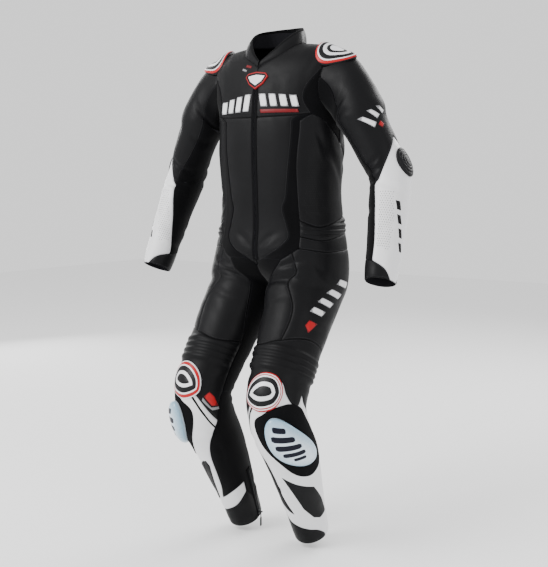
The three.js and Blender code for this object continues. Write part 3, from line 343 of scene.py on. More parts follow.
# Seams, as in the part's source. Ends are shared, and each run is drawn as one smooth curve.
SPIKE = 0.97
RUNS = {
    "chest_inner": [(0, 204), (0.385, 202), (0.53, 200)],
    "chest_outer": [(0.53, 200), (0.64, 198)],
    "stretch_front": [(1, 60), (0.86, 80), (0.68, 128), (0.59, 165), (0.64, 198)],
    "under_arm": [(0.64, 198), (0.735, 210), (0.83, 240), (1, 272)],
    "band_inner": [(0.53, 200), (0.42, 210), (0.38, 226), (0.34, 312), (0.31, 400), (0.265, 436), (0.3, 480),
                   (0.315, 520), (0.18, 574), (0.1, 600)],
    "belly_low": [(0.1, 600), (0, 626)],
    "band_end": [(0.1, 600), (0.275, 602)],
    "band_outer": [(0.64, 198), (0.51, 210), (0.455, 226), (0.415, 312), (0.43, 400), (0.43, 466)],
    "band_waist": [(0.43, 466), (0.43, 512), (0.43, 552)],
    "waist_front": [(0.43, 466), (0.43, 512)],
    "hip_front": [(0.43, 512), (0.43, 552)],
    "side_back": [(1, 272), (1.15, 292), (1.2, 380), (1.2, 456)],
    "ribs_top_side": [(0.43, 466), (0.675, 484), (1, 466), (1.2, 456)],
    "ribs_top_back": [(1.2, 456), (1.6, 450), (2, 450)],
    "ribs_low_side": [(0.43, 512), (0.7, 524), (1, 510), (1.3, 500)],
    "ribs_low_back": [(1.3, 500), (2, 500)],
    "band_high": [(0.43, 552), (0.37, 568)],
    "band_low": [(0.37, 568), (0.275, 602)],
    "hip": [(0.43, 552), (0.73, 560), (1.134, 550), (1.3, 548)],
    "double_seam": [(0.37, 568), (0.42, 605), (0.495, 654), (0.6, 728), (0.635, 770), (0.63, 810),
                    (0.6, 852)],
    "inner_thigh": [(0.275, 602), (0.25, 652), (0.245, 690), (0.195, 740), (0.11, 816), (0.08, 850)],
    "hip_back": [(1.3, 500), (1.3, 548)],
    "thigh_back": [(1.3, 548), (1.28, 700), (1.27, 840)],
    "knee_inner": [(0.08, 850), (0.35, 868), (0.6, 852)],
    "knee_outer": [(0.6, 852), (0.9, 826), (1.27, 840)],
    "knee_back": [(1.27, 840), (1.28, 985)],
    "knee_side": [(0.08, 850), (0.08, 985)],
    "seat_inner": [(2, CROTCH), (1.88, 740), (1.85, 850), (1.88, 985)],
    "shin_top_inner": [(0.155, 1050), (0.3, 1010), (0.42, 985), (0.55, 962), (0.7, 946), (0.78, 968),
                       (0.86, 986), (0.94, 990), (SPIKE, 964)],
    "shin_top_outer": [(SPIKE, 964), (1.03, 985), (1.15, 1010), (1.25, 1060)],
    "shin_inner": [(0.155, 1050), (0.23, 1074), (0.33, 1110), (0.4, 1160), (0.44, 1262), (0.52, 1316)],
    "shin_notch": [(0.52, 1316), (0.3, 1292), (0.09, 1276)],
    "shin_tip": [(0.09, 1276), (0.1, 1312)],
    "shin_low": [(0.1, 1312), (0.3, 1345), (0.5, 1362), (0.7, 1378), (0.85, 1392), (0.98, 1418),
                 (0.98, ANKLE)],
    "hem_top": [(1.25, 1372), (1.7, 1372), (1.95, 1350), (2.1, 1312)],
    "shin_outer": [(1.25, 1060), (1.26, 1200), (1.25, 1372)],
    "neck_front": [(0, 0), (0, NECK_FRONT)],
    "front_high": [(0, NECK_FRONT), (0, 204)],
    "front_low": [(0, 204), (0, 626)],
    "front_end": [(0, 626), (0, CROTCH)],
    "neck_back": [(2, 0), (2, NECK_FRONT)],
    "back_high": [(2, NECK_FRONT), (2, 450)],
    "back_waist": [(2, 450), (2, 500)],
    "back_low": [(2, 500), (2, CROTCH)],
    "shoulder": [(0, 0), (1, 0)],
    "shoulder_back": [(1, 0), (2, 0)],
    "armhole_high": [(1, 0), (1, 60)],
    "armhole_low": [(1, 60), (1, ARMPIT)],
    "armhole_back": [(1, 0), (1, ARMPIT)],
    "armpit": [(1, ARMPIT), (1, 272)],
    "hem_low": [(0.98, ANKLE), (1.25, ANKLE)],
    "hem_round": [(1.25, ANKLE), (2.98, ANKLE)],
    "hem_side": [(1.25, 1372), (1.25, ANKLE)],
    "calf_top": [(1.28, 985), (2.08, 985)],
    "calf_side": [(2.08, 985), (2.155, 1050)],
    "shin_side": [(1.25, 1060), (1.28, 985)],
    "inner_low": [(0.08, 985), (-0.12, 985)],
    "seat_low": [(1.88, 985), (1.28, 985)],
}
ARM_RUNS = {
    "front": [(70, 0), (94, 44), (121, 100), (131, 188), (111, 292), (104, 352)],
    "rear": [(-90, 0), (-100, 44), (-115, 100), (-128, 188), (-111, 292), (-104, 352)],
    "elbow_front": [(104, 352), (60, 288), (-2, 228)],
    "elbow_rear": [(-2, 228), (-60, 288), (-104, 352)],
    "forearm_front": [(104, 352), (98, 430), (93, 504), (96, 555)],
    "forearm_rear": [(-104, 352), (-100, 430), (-96, 504), (-98, 555)],
    "cuff_front": [(96, 555), (48, 575), (20, WRIST)],
    "cuff_rear": [(-98, 555), (-50, 575), (-20, WRIST)],
    "cuff_inner": [(96, 555), (180, 540), (262, 555)],
    "cap": [(-90, 0), (70, 0)],
    "cap_inner": [(70, 0), (270, 0)],
    "wrist_outer": [(-20, WRIST), (20, WRIST)],
    "wrist_inner": [(20, WRIST), (340, WRIST)],
}


def smooth_stretch(a, b, c, d, t):
    """Points from b to c, with a and d as the points beside them."""
    return 0.5 * (2 * b + (c - a) * t + (2 * a - 5 * b + 4 * c - d) * t**2 + (3 * b - a - 3 * c + d) * t**3)


def travelled(points):
    """The way along a row of points, at each of them."""
    return np.concatenate([[0], np.cumsum(np.linalg.norm(np.diff(points, axis=0), axis=1))])


def stops(row, lengths, at):
    """Flat places on a row, where its lengths reach given values."""
    return np.stack([np.interp(at, lengths, row[:, k]) for k in (0, 1)], axis=1)


def curve(points, across, spacing):
    """Smooth curve through a run's points, in flat millimetres, with steps near the spacing."""
    p = np.array(points, float) * [across, 1]
    if len(p) > 2:
        ends = np.vstack([2 * p[0] - p[1], p, 2 * p[-1] - p[-2]])
        t = np.linspace(0, 1, 13)[:-1, None]
        fours = zip(ends, ends[1:], ends[2:], ends[3:])
        p = np.vstack([smooth_stretch(*four, t) for four in fours] + [p[-1:]])
    lengths = travelled(p)
    return stops(p, lengths, np.linspace(0, lengths[-1], max(1, round(lengths[-1] / spacing)) + 1))


def outline_of(runs, names, across, spacing=5.0):
    """A closed flat outline from runs. A leading - turns a run, and a trailing +N moves it N units across."""
    loops = []
    for name in names.split():
        name, _, shift = name.partition("+")
        part = curve(runs[name.lstrip("-")], across, spacing)
        part = part[::-1] if name.startswith("-") else part
        loops.append(part[:-1] + [float(shift or 0) * across, 0])
    return np.vstack(loops)


def closed_curve(corners, across, spacing=3.0):
    """A rounded closed outline through a ring of corners."""
    p = np.array(corners, float) * [across, 1]
    t = np.linspace(0, 1, 9)[:-1, None]
    ring = np.vstack([smooth_stretch(*np.roll(p, 1 - k, axis=0)[:4], t) for k in range(len(p))])
    ring = np.vstack([ring, ring[:1]])
    lengths = travelled(ring)
    steps = max(8, round(lengths[-1] / spacing))
    return stops(ring, lengths, np.linspace(0, lengths[-1], steps + 1)[:-1])


def polygon(corners, across, spacing=3.0):
    """A closed outline with straight sides and sharp corners."""
    p = np.array(corners, float) * [across, 1]
    sides = []
    for a, b in zip(p, np.roll(p, -1, axis=0)):
        steps = max(1, round(np.linalg.norm(b - a) / spacing))
        sides.append(a + (b - a) * np.linspace(0, 1, steps + 1)[:-1, None])
    return np.vstack(sides)


def edge_distance(points, outline):
    """Distance from each flat point to the outline, and how far along the outline it lies."""
    starts = outline
    spans = np.roll(outline, -1, axis=0) - starts
    lengths = np.maximum(np.linalg.norm(spans, axis=1), 1e-9)
    begun = np.concatenate([[0], np.cumsum(lengths)[:-1]])
    nearest = np.full(len(points), 1e9)
    along = np.zeros(len(points))
    for low in range(0, len(points), 4000):
        chunk = points[low:low + 4000, None]
        t = np.clip(((chunk - starts) * spans).sum(2) / lengths**2, 0, 1)
        gap = np.linalg.norm(chunk - starts - t[..., None] * spans, axis=2)
        best = gap.argmin(1)
        rows = np.arange(len(best))
        nearest[low:low + 4000] = gap[rows, best]
        along[low:low + 4000] = begun[best] + t[rows, best] * lengths[best]
    return nearest, along


def inside(points, outline):
    """Which flat points lie inside the outline, by crossings."""
    ends = np.roll(outline, -1, axis=0)
    odd = np.zeros(len(points), bool)
    for (x0, y0), (x1, y1) in zip(outline, ends):
        if y0 == y1:
            continue
        crosses = (points[:, 1] >= min(y0, y1)) & (points[:, 1] < max(y0, y1))
        odd ^= crosses & (points[:, 0] < x0 + (points[:, 1] - y0) * (x1 - x0) / (y1 - y0))
    return odd


def turning(outline):
    """The sign of the area inside an outline, by the way that it runs round."""
    x, y = outline[:, 0], outline[:, 1]
    return np.sign((x * np.roll(y, -1) - np.roll(x, -1) * y).sum())


def offset_row(outline, distance):
    """The outline moved inwards, without the places that another stretch of the outline comes near."""
    tangent = unit(np.roll(outline, -1, axis=0) - np.roll(outline, 1, axis=0))
    inward = np.stack([-tangent[:, 1], tangent[:, 0]], axis=1) * turning(outline)
    moved = outline + inward * distance
    gap, _ = edge_distance(moved, outline)
    keep = (gap > distance * 0.93) & inside(moved, outline)
    return moved, keep


def flat_mesh(outline, rows, spacing):
    """Triangles over a flat outline: the outline, rows at given distances inside it, and a close grid."""
    points = [outline]
    edges = [(k, (k + 1) % len(outline)) for k in range(len(outline))]
    count = len(outline)
    for distance in rows:
        moved, keep = offset_row(outline, distance)
        ids = np.full(len(moved), -1)
        ids[keep] = count + np.arange(keep.sum())
        near = np.linalg.norm(np.roll(moved, -1, axis=0) - moved, axis=1) < 4 * spacing
        joined = keep & np.roll(keep, -1) & near
        edges += [(int(ids[k]), int(ids[(k + 1) % len(ids)])) for k in np.flatnonzero(joined)]
        points.append(moved[keep])
        count += int(keep.sum())
    low, high = outline.min(0), outline.max(0)
    height = spacing * math.sqrt(3) / 2
    ys = np.arange(low[1] + height / 2, high[1], height)
    grid = []
    for k, y in enumerate(ys):
        xs = np.arange(low[0] + spacing * (0.5 if k % 2 else 0.25), high[0], spacing)
        grid.append(np.stack([xs, np.full(len(xs), y)], axis=1))
    grid = np.vstack(grid) if grid else np.zeros((0, 2))
    grid = grid[inside(grid, outline)]
    if len(grid):
        gap, _ = edge_distance(grid, outline)
        clear = (max(rows) if rows else 0) + 0.55 * spacing
        grid = grid[gap > clear]
    points.append(grid)
    flat = np.vstack(points)
    made = delaunay_2d_cdt([Vector(p) for p in flat.tolist()], edges, [list(range(len(outline)))], 1, 1e-5)
    places = np.array([tuple(p) for p in made[0]])
    faces = np.array([face for face in made[2] if len(face) == 3])
    return places, faces


# Relief that runs on from piece to piece: troughs with soft lips, each placed one by one.
# Columns: start and end as (a, down), bow across the line, depth, width, and which sides have it.
CREASES = table("a0 d0 a1 d1 bow depth width sides", [
    (0.62, 236, 0.98, 330, 8, 2.4, 9, 0),
    (0.75, 262, 1.08, 372, -6, 1.8, 8, 1),
    (1.05, 292, 1.38, 214, 8, 2.6, 11, 0),
    (1.12, 330, 1.55, 300, -8, 2.0, 12, 0),
    (1.3, AROUND, 1.75, 205, 10, 1.8, 13, -1),
    (1.45, 380, 1.95, 352, -8, 2.2, 11, 0),
    (1.25, 420, 1.7, 412, 6, 1.8, 9, 1),
    (1.6, 150, 1.9, 190, -6, 1.6, 12, 0),
    (0.44, 420, 0.72, 452, 6, 2.0, 8, 0),
    (0.52, 392, 0.95, 436, -8, 1.6, 9, -1),
    (0.05, 560, 0.17, 500, -4, 2.4, 8, 0),
    (0.04, 600, 0.24, 566, 5, 2.6, 8, 0),
    (0.28, 640, 0.52, 598, -8, 3.0, 10, 0),
    (0.3, 672, 0.66, 632, -10, 3.2, 11, -1),
    (0.27, 700, 0.58, 676, -8, 2.6, 10, 1),
    (0.32, 744, 0.6, 712, 9, 2.0, 10, 0),
    (0.62, 604, 0.98, 640, 12, 1.8, 12, 1),
    (0.66, 700, 1.1, 668, -10, 1.6, 13, -1),
    (0.75, 786, 1.15, 752, 8, 1.8, 12, 0),
    (1.35, 600, 1.8, 566, -12, 2.6, 12, 0),
    (1.3, 655, 1.7, 668, 10, 3.0, 12, 0),
    (1.42, 700, 1.86, 716, 8, 3.2, 11, 1),
    (1.36, 742, 1.84, 728, -8, 2.8, 12, -1),
    (1.4, 800, 1.8, 822, 8, 2.2, 12, 0),
    (1.32, 900, 1.84, 884, -6, 3.4, 10, 0),
    (1.36, 930, 1.82, 926, 5, 3.8, 9, 1),
    (1.3, 958, 1.86, 962, -5, 3.6, 9, -1),
    (1.34, 1000, 1.96, 990, 6, 3.4, 10, 0),
    (1.36, 1036, 1.9, 1044, -6, 2.6, 11, 0),
    (1.5, 1100, 1.95, 1080, 8, 1.8, 12, 1),
    (1.4, 1190, 1.8, 1206, -6, 1.6, 12, -1),
    (1.3, 1290, 1.75, 1304, 6, 2.0, 10, 0),
    (1.45, 1340, 1.9, 1328, -5, 2.2, 9, 0),
    (0.14, 900, 0.36, 886, 4, 2.6, 9, 1),
    (0.1, 930, 0.3, 948, -5, 2.4, 9, 0),
    (0.8, 900, 1.16, 918, 6, 1.8, 10, -1),
    (0.82, 944, 1.2, 934, -5, 2.4, 9, 0),
    (0.24, 1120, 0.3, 1220, 3, 1.6, 8, 0),
    (0.2, 1082, 0.42, 1064, -5, 1.8, 8, 0),
    (0.36, 1212, 0.6, 1240, 5, 1.6, 9, 1),
    (0.5, 1352, 0.9, 1330, 6, 1.8, 9, -1),
    (1.05, 1210, 1.24, 1180, 4, 1.6, 9, 0),
])
ARM_CREASES = table("a0 d0 a1 d1 bow depth width sides", [
    (74, 96, 160, 60, 8, 3.0, 9, 0),
    (86, 132, 172, 112, -7, 2.6, 9, 1),
    (100, 170, 176, 178, 6, 2.2, 10, -1),
    (200, 60, 276, 92, 8, 2.8, 10, 0),
    (196, 118, 262, 140, -6, 2.4, 10, 0),
    (-20, 120, 44, 108, 7, 1.5, 12, 1),
    (20, 150, 66, 204, -6, 1.6, 10, -1),
    (-66, 130, -14, 166, 6, 1.6, 11, 0),
    (70, 262, 150, 282, 7, 3.4, 8, 0),
    (78, 298, 164, 306, -5, 4.0, 8, 1),
    (84, 330, 156, 322, 5, 3.6, 8, 0),
    (74, 356, 148, 366, -6, 3.0, 9, -1),
    (200, 270, 268, 262, 6, 2.4, 9, 0),
    (196, 316, 262, 324, -5, 2.8, 9, 0),
    (110, 420, 190, 404, 6, 1.8, 10, 1),
    (150, 470, 214, 482, -5, 1.6, 10, 0),
    (104, 520, 170, 512, 5, 1.8, 9, -1),
    (-86, 392, -30, 372, 5, 2.2, 9, 0),
    (-92, 446, -44, 462, -5, 1.6, 10, 1),
    (22, 366, 92, 344, 6, 2.4, 8, 0),
    (34, 402, 96, 386, -5, 1.8, 9, -1),
    (26, 452, 90, 470, 6, 1.6, 11, 0),
    (-20, 420, 40, 432, 5, 1.1, 12, 1),
    (-10, 500, 60, 520, -5, 1.3, 11, 0),
])

# Accordion folds across the waist and above the knee: where they run, how many, how high, and their fade
WAIST_RIBS = {"from": 460, "to": 520, "count": 4, "height": 4.0, "fade": 10}
KNEE_RIBS = {"from": 862, "to": 926, "count": 4, "height": 4.2, "fade": 10}
# Height of the slow swell that a worn suit has all over
SWELL = 0.42


def creased(form, a, down, side):
    """Depth of the creases at flat places, with lower ridges beside each trough."""
    rows = CREASES if form is SUIT else ARM_CREASES
    x = a * form.across
    out = np.zeros(len(a))
    for row in rows:
        if row["sides"] and row["sides"] != side:
            continue
        start = np.array([row["a0"] * form.across, row["d0"]])
        span = np.array([row["a1"] * form.across, row["d1"]]) - start
        length = np.linalg.norm(span)
        span /= length
        along = ((x - start[0]) * span[0] + (down - start[1]) * span[1]) / length
        off = (down - start[1]) * span[0] - (x - start[0]) * span[1]
        off = off - row["bow"] * 4 * np.clip(along, 0, 1) * (1 - np.clip(along, 0, 1))
        taper = smooth(-0.12, 0.3, along) * (1 - smooth(0.62, 1.12, along))
        width = row["width"] * (0.75 + 0.5 * along)
        trough = np.exp(-(off / width) ** 2)
        lips = np.exp(-((off - 1.9 * width) / width) ** 2) + 0.6 * np.exp(-((off + 2.1 * width) / width) ** 2)
        out += row["depth"] * taper * (0.42 * lips - trough)
    return out


def relief(form, a, down, side):
    """Creases and a slow swell, the same for a piece, for its neighbours and for what lies on it."""
    if form is CENTRE:
        return relief(SUIT, centre_u(a, down), down, side)
    turn = form.turn * a
    whole = 2 * form.quarter if form is SUIT else 4 * form.quarter
    swell = (np.sin(3 * turn + down / 57) * np.sin(down / 43 - 2 * turn)
             + 0.6 * np.sin(7 * turn - down / 29) * np.sin(down / 23 + 5 * turn))
    own = np.sin(4 * turn + down / 37 + 1) * np.sin(down / 61 - 3 * turn)
    fade = np.sin(turn / 2) ** 2 if form is SUIT else 1
    creases = sum(creased(form, a + turns * whole, down, side) for turns in (-1, 0, 1))
    return creases + SWELL * (swell + 0.8 * side * own * fade)


def ribs(spec):
    """Rounded accordion folds that fade towards the seams."""
    def height(edge, flat):
        share = (flat[:, 1] - spec["from"]) / (spec["to"] - spec["from"])
        wave = np.abs(np.sin(math.pi * spec["count"] * share))
        inside_band = (share > 0) & (share < 1)
        return spec["height"] * np.where(inside_band, wave**0.75, 0) * np.minimum(1, edge / spec["fade"])
    return height


def crown(high, shoulder, rim=0.0):
    """A crowned shape: steep at its rim and rounded over to its full height."""
    def height(edge, flat):
        t = np.minimum(1, edge / shoulder)
        return rim + (high - rim) * np.sqrt(np.maximum(0, 1 - (1 - t) ** 2))
    return height


# Materials
MATERIALS = {}


class Shader:
    """A new material: its main shader, and helpers that add nodes to it."""

    def __init__(self, name, base, rough, **options):
        material = bpy.data.materials.new(name)
        material.use_nodes = True
        self.nodes, self.links = material.node_tree.nodes, material.node_tree.links
        self.base = base
        self.main = self.nodes["Principled BSDF"]
        self.fill(self.main, Base_Color=(*base, 1), Roughness=rough, **options)
        self.where = self.nodes.new("ShaderNodeTexCoord").outputs["Object"]
        MATERIALS[name] = material

    def fill(self, node, **values):
        """Sets or links the sockets of a node by their names, with _ for a space."""
        for name, value in values.items():
            socket = node.inputs[name.replace("_", " ")]
            if isinstance(value, bpy.types.NodeSocket):
                self.links.new(value, socket)
            else:
                socket.default_value = value
        return node

    def add(self, kind, **values):
        return self.fill(self.nodes.new(f"ShaderNode{kind}"), **values)

    def noise(self, scale, detail=3.0, rough=0.55):
        node = self.add("TexNoise", Vector=self.where, Scale=scale, Detail=detail, Roughness=rough)
        return node.outputs["Fac"]

    def ranged(self, value, low, high, from_low=0.3, from_high=0.7):
        node = self.add("MapRange", Value=value, To_Min=low, To_Max=high, From_Min=from_low,
                        From_Max=from_high)
        return node.outputs["Result"]

    def edge(self):
        """How far in from its edge a place on a piece lies, in millimetres."""
        node = self.nodes.new("ShaderNodeAttribute")
        node.attribute_name = "edge"
        return node.outputs["Fac"]

    def mixed(self, factor, first, second):
        """Two colours mixed, as the colour of the shader."""
        node = self.nodes.new("ShaderNodeMix")
        node.data_type = "RGBA"
        self.fill(node, Factor=factor, A=first, B=second)
        self.fill(self.main, Base_Color=node.outputs["Result"])
        return node.outputs["Result"]

    def toned(self, value, low, high):
        """Changes of tone, between two shares of the base colour."""
        dark, light = [(*[min(1, c * share) for c in self.base], 1) for share in (low, high)]
        return self.mixed(self.ranged(value, 0, 1), dark, light)

    def shade_seams(self, tone, shade):
        """Darkens the cloth in the seam itself: painted shade where shadow gathers, with some grime."""
        self.mixed(self.ranged(self.edge(), 1.0, 0.0, 0.3, 2.2), tone, (*shade, 1))

    def bumped(self, *layers):
        """Stacked bumps: each layer is a height, its strength and its depth in metres."""
        before = {}
        for height, strength, depth in layers:
            bump = self.add("Bump", Strength=strength, Distance=depth, Height=height, **before)
            before = {"Normal": bump.outputs["Normal"]}
        self.fill(self.main, **before)


def leather(name, base, rough, spread=0.18, seam=(0.001, 0.001, 0.0012), shine=0.10):
    """Grained, finished leather: pebbles a millimetre wide, pores, slow changes of tone and gloss, and
    painted shade in the seam colour along its seams.
    """
    cloth = Shader(name, base, rough, Specular_IOR_Level=shine)
    # painted shade: the leather darkens to its seam colour in its seams
    cloth.shade_seams(cloth.toned(cloth.noise(9.0, 4.0), 1 - spread, 1 + spread), seam)
    cloth.fill(cloth.main, Roughness=cloth.ranged(cloth.noise(26.0, 5.0), rough - 0.07, rough + 0.09))
    pebbles = cloth.add("TexVoronoi", Scale=620.0, Vector=cloth.where).outputs["Distance"]
    cloth.bumped((cloth.noise(140.0, 6.0, 0.65), 0.28, 0.0006), (pebbles, 0.34, 0.00035),
                 (cloth.noise(2100.0, 2.0), 0.16, 0.00012))


def woven(name, base, rough):
    """Matte stretch cloth: a fine twill from two crossed waves, with a soft sheen."""
    cloth = Shader(name, base, rough, Sheen_Weight=0.06, Sheen_Roughness=0.5, Specular_IOR_Level=0.045)
    # painted shade: the stretch cloth darkens in its seams
    cloth.shade_seams(cloth.toned(cloth.noise(12.0, 4.0), 0.75, 1.3), (0.003, 0.003, 0.004))
    waves = []
    for direction in ("DIAGONAL", "X"):
        wave = cloth.add("TexWave", Scale=260.0, Distortion=0.6, Vector=cloth.where)
        wave.bands_direction = direction
        waves.append(wave.outputs["Fac"])
    cloth.bumped((waves[0], 0.3, 0.0003), (waves[1], 0.2, 0.0003), (cloth.noise(900.0), 0.25, 0.0003))


def plastic(name, base, rough, coat=0.0, spread=0.05, shine=0.5, rim=None):
    """Moulded plastic: faint orange peel, fine scuffs, a slow change of gloss, and a slow change of tone;
    given a rim colour, painted shade deepens the colour towards the edge instead.
    """
    shell = Shader(name, base, rough, Coat_Weight=coat, Coat_Roughness=0.12, Specular_IOR_Level=shine)
    if rim:
        # painted shade: the colour runs from the rim colour at the edge to the base colour 26 mm in
        shell.mixed(shell.ranged(shell.edge(), 0, 1, 0.0, 26.0), (*rim, 1), (*base, 1))
    else:
        shell.toned(shell.noise(30.0, 4.0), 1 - spread, 1 + spread)
    scuffs = shell.noise(160.0, 6.0, 0.7)
    shell.fill(shell.main, Roughness=shell.ranged(scuffs, rough - 0.06, rough + 0.12))
    shell.bumped((scuffs, 0.06, 0.0003), (shell.noise(700.0, 2.0), 0.08, 0.0002))


def looped(name, base, rough, shine=0.1):
    """Hook-and-loop pile or rubbery moulding: a rough, matte grain."""
    cloth = Shader(name, base, rough, Specular_IOR_Level=shine)
    pile = cloth.noise(1300.0, 4.0, 0.7)
    cloth.toned(pile, 0.6, 1.5)
    cloth.bumped((pile, 0.6, 0.0006))


BLACK = (0.0040, 0.0040, 0.0046)
WHITE = (0.70, 0.70, 0.712)
RED = (0.36, 0.003, 0.006)
# The third colour given to a leather is the painted shade in its seams.
leather("black_leather", BLACK, 0.46)
leather("white_leather", WHITE, 0.42, 0.035, (0.14, 0.14, 0.15), 0.35)
leather("red_leather", RED, 0.42, 0.1, (0.1, 0.002, 0.004), 0.2)
woven("stretch", (0.0014, 0.0014, 0.0018), 0.85)
plastic("white_shell", (0.72, 0.72, 0.74), 0.3, 0.2)
plastic("red_shell", RED, 0.32, 0.0, 0.1, 0.25)
plastic("black_shell", (0.005, 0.005, 0.006), 0.34, 0.0, 0.05, 0.16)
# The ice plastic's rim colour is painted shade, darker and bluer towards the puck's edge.
plastic("ice_plastic", (0.60, 0.70, 0.78), 0.26, 0.35, rim=(0.22, 0.38, 0.50))
# painted shade: the near-black colour of the slider's slots, which stands for the shadow in its grooves
plastic("painted_groove_shade", (0.004, 0.005, 0.012), 0.4, 0.0, 0.05, 0.12)
looped("hook_pile", (0.0035, 0.0035, 0.004), 0.85, 0.06)
looped("rubber", (0.005, 0.005, 0.006), 0.45, 0.14)
looped("lining", (0.010, 0.010, 0.012), 0.9, 0.1)
looped("zip_tape", (0.003, 0.003, 0.0035), 0.8, 0.06)
plastic("hole", (0.012, 0.012, 0.013), 0.9)
plastic("enamel", (0.008, 0.008, 0.010), 0.3, 0.0, 0.05, 0.4)
plastic("thread", (0.024, 0.024, 0.027), 0.6, 0.0, 0.05, 0.2)
plastic("white_thread", (0.62, 0.62, 0.64), 0.7)


# Making pieces
PIECES = {}


def new_object(name, points, faces, materials, paint=None, edge=None, smooth=True):
    """A mesh object, with a material index for each face and a distance from the edge for each point."""
    mesh = bpy.data.meshes.new(name)
    mesh.from_pydata((np.asarray(points) * MM).tolist(), [], [list(map(int, f)) for f in faces])
    for material in materials:
        mesh.materials.append(MATERIALS[material])
    mesh.polygons.foreach_set("use_smooth", [smooth] * len(mesh.polygons))
    if paint is not None:
        mesh.polygons.foreach_set("material_index", [int(p) for p in paint])
    if edge is not None:
        mesh.attributes.new("edge", "FLOAT", "POINT").data.foreach_set("value", np.asarray(edge, np.float32))
    mesh.update()
    obj = bpy.data.objects.new(name, mesh)
    bpy.context.scene.collection.objects.link(obj)
    PIECES[name] = obj
    return obj


def closed_shell(faces, count):
    """Faces of a closed shell from one layer: the layer, its twin turned over, and walls along its rim."""
    rim = {}
    for a, b, c in faces.tolist():
        for p, q in ((a, b), (b, c), (c, a)):
            if (q, p) in rim:
                del rim[(q, p)]
            else:
                rim[(p, q)] = True
    twin = [(a + count, c + count, b + count) for a, b, c in faces.tolist()]
    walls = [(q, p, p + count, q + count) for p, q in rim]
    return faces.tolist() + twin + walls


def laid(form, flat, height, side, rear):
    """Places at heights over flat places, with the centre seams of the suit on its middle plane."""
    a = flat[:, 0] / form.across
    points = form.lay(a, flat[:, 1], height, np.full(len(a), bool(rear)))
    if form is SUIT:
        middle = ((a < 1e-4) | (a > 2 - 1e-4)) & (flat[:, 1] <= CROTCH) & (flat[:, 1] >= NECK_FRONT - 1)
        points[middle, 0] = 0
        points[:, 0] = np.where(flat[:, 1] <= CROTCH, np.maximum(points[:, 0], 0), points[:, 0])
    if side < 0:
        points[:, 0] *= -1
    return points


def cover(edge, puff, dip):
    """Height of a piece of cloth over its form: it swells in the middle and dips into its seams."""
    return puff * (1 - np.exp(-((edge / 16) ** 2))) - dip * np.exp(-((edge / 2.3) ** 2))


def piece(name, form, outlines, side=1, rear=False, thick=LEATHER, rows=(1.4, 4.0), spacing=6.0, shape=None,
          materials=("black_leather",), paint=None, puff=0.9, dip=1.5, over=None, lined=False, slot="leather",
          stands_for=(), sheet=True):
    """One cloth or moulded piece on a form, from one or more flat outlines.

    Cloth lies on the form and inwards from it, and dips at its seams. With over, the piece lies on
    other cloth, that many millimetres above the form.
    """
    all_points, all_faces, colours, edges = [], [], [], []
    count, area, length = 0, 0.0, 0.0
    for outline in outlines:
        flat, faces = flat_mesh(outline, list(rows), spacing)
        edge, _ = edge_distance(flat, outline)
        a, down = flat[:, 0] / form.across, flat[:, 1]
        base = relief(form, a, down, side)
        if over is None:
            outer = base + cover(edge, puff, dip)
            inner = base * 0.6 - thick
        else:
            outer = base + over
            inner = base - 0.4
        if shape is not None:
            outer = outer + shape(edge, flat)
        plain = laid(form, flat, np.zeros(len(flat)), side, rear)
        points = np.vstack([laid(form, flat, outer, side, rear), laid(form, flat, inner, side, rear)])
        first, second, third = (points[faces[:, k]] for k in range(3))
        facing = np.cross(second - first, third - first)
        outward = laid(form, flat, np.ones(len(flat)), side, rear) - plain
        if (facing * outward[faces[:, 0]]).sum() < 0:
            faces = faces[:, ::-1]
        shell = closed_shell(faces, len(flat))
        top = np.zeros(len(faces), int)
        if paint is not None:
            centre = flat[faces].mean(1)
            top = paint(edge_distance(centre, outline)[0], centre)
        under = np.full(len(faces), len(materials) - 1 if lined else 0)
        colours.append(np.concatenate([top, under, np.zeros(len(shell) - 2 * len(faces), int)]))
        # The inner layer's distances are raised by 50, which keeps the painted seam shade off it.
        edges.append(np.concatenate([edge, edge + 50]))
        all_points.append(points)
        all_faces += [tuple(i + count for i in face) for face in shell]
        count += len(points)
        p, q, r = (plain[faces[:, k]] for k in range(3))
        area += np.linalg.norm(np.cross(q - p, r - p), axis=1).sum() / 2 * MM**2
        length = max(length, float(np.ptp(flat[:, 1])) * MM)
    obj = new_object(name, np.vstack(all_points), all_faces, materials, np.concatenate(colours),
                     np.concatenate(edges))
    settle(obj, stands_for)
    return obj


def settle(obj, stands_for, body="suit"):
    """The body that an object rides on and the nodes that it stands for."""
    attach(obj, body)
    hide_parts(*([stands_for] if isinstance(stands_for, str) else stands_for))


# Small repeated things, gathered by material and joined into one mesh each
GATHERED = {}


def store(kind, corners, shape):
    """Keeps small solids: an array of places for each corner, and the faces of one of them."""
    points = np.stack(corners, axis=1).reshape(-1, 3)
    per = np.arange(len(corners[0]))[:, None, None] * len(corners)
    GATHERED.setdefault(kind, []).append((points, (np.array(shape)[None] + per).reshape(-1, 3)))


def gather(kind, places, along, out, half_long, half_wide, high, sunk=0.15):
    """Little ridged bars, such as stitches and zip teeth, at places with a direction along and one out."""
    across = unit(np.cross(out, along))
    corners = []
    for sign in (-1, 1):
        end = places + sign * half_long * along
        corners += [end + half_wide * across - sunk * out, end - half_wide * across - sunk * out]
        corners.append(places + sign * 0.65 * half_long * along + high * out)
    store(kind, corners, [(0, 2, 1), (3, 4, 5), (0, 1, 4), (0, 4, 3), (1, 2, 5), (1, 5, 4), (2, 0, 3),
                          (2, 3, 5)])


def outwards(form, flat, side, rear):
    """Outward directions at flat places, mirrored on the right."""
    _, out = form.normals(flat[:, 0] / form.across, flat[:, 1], np.full(len(flat), bool(rear)))
    return out * [side, 1, 1]


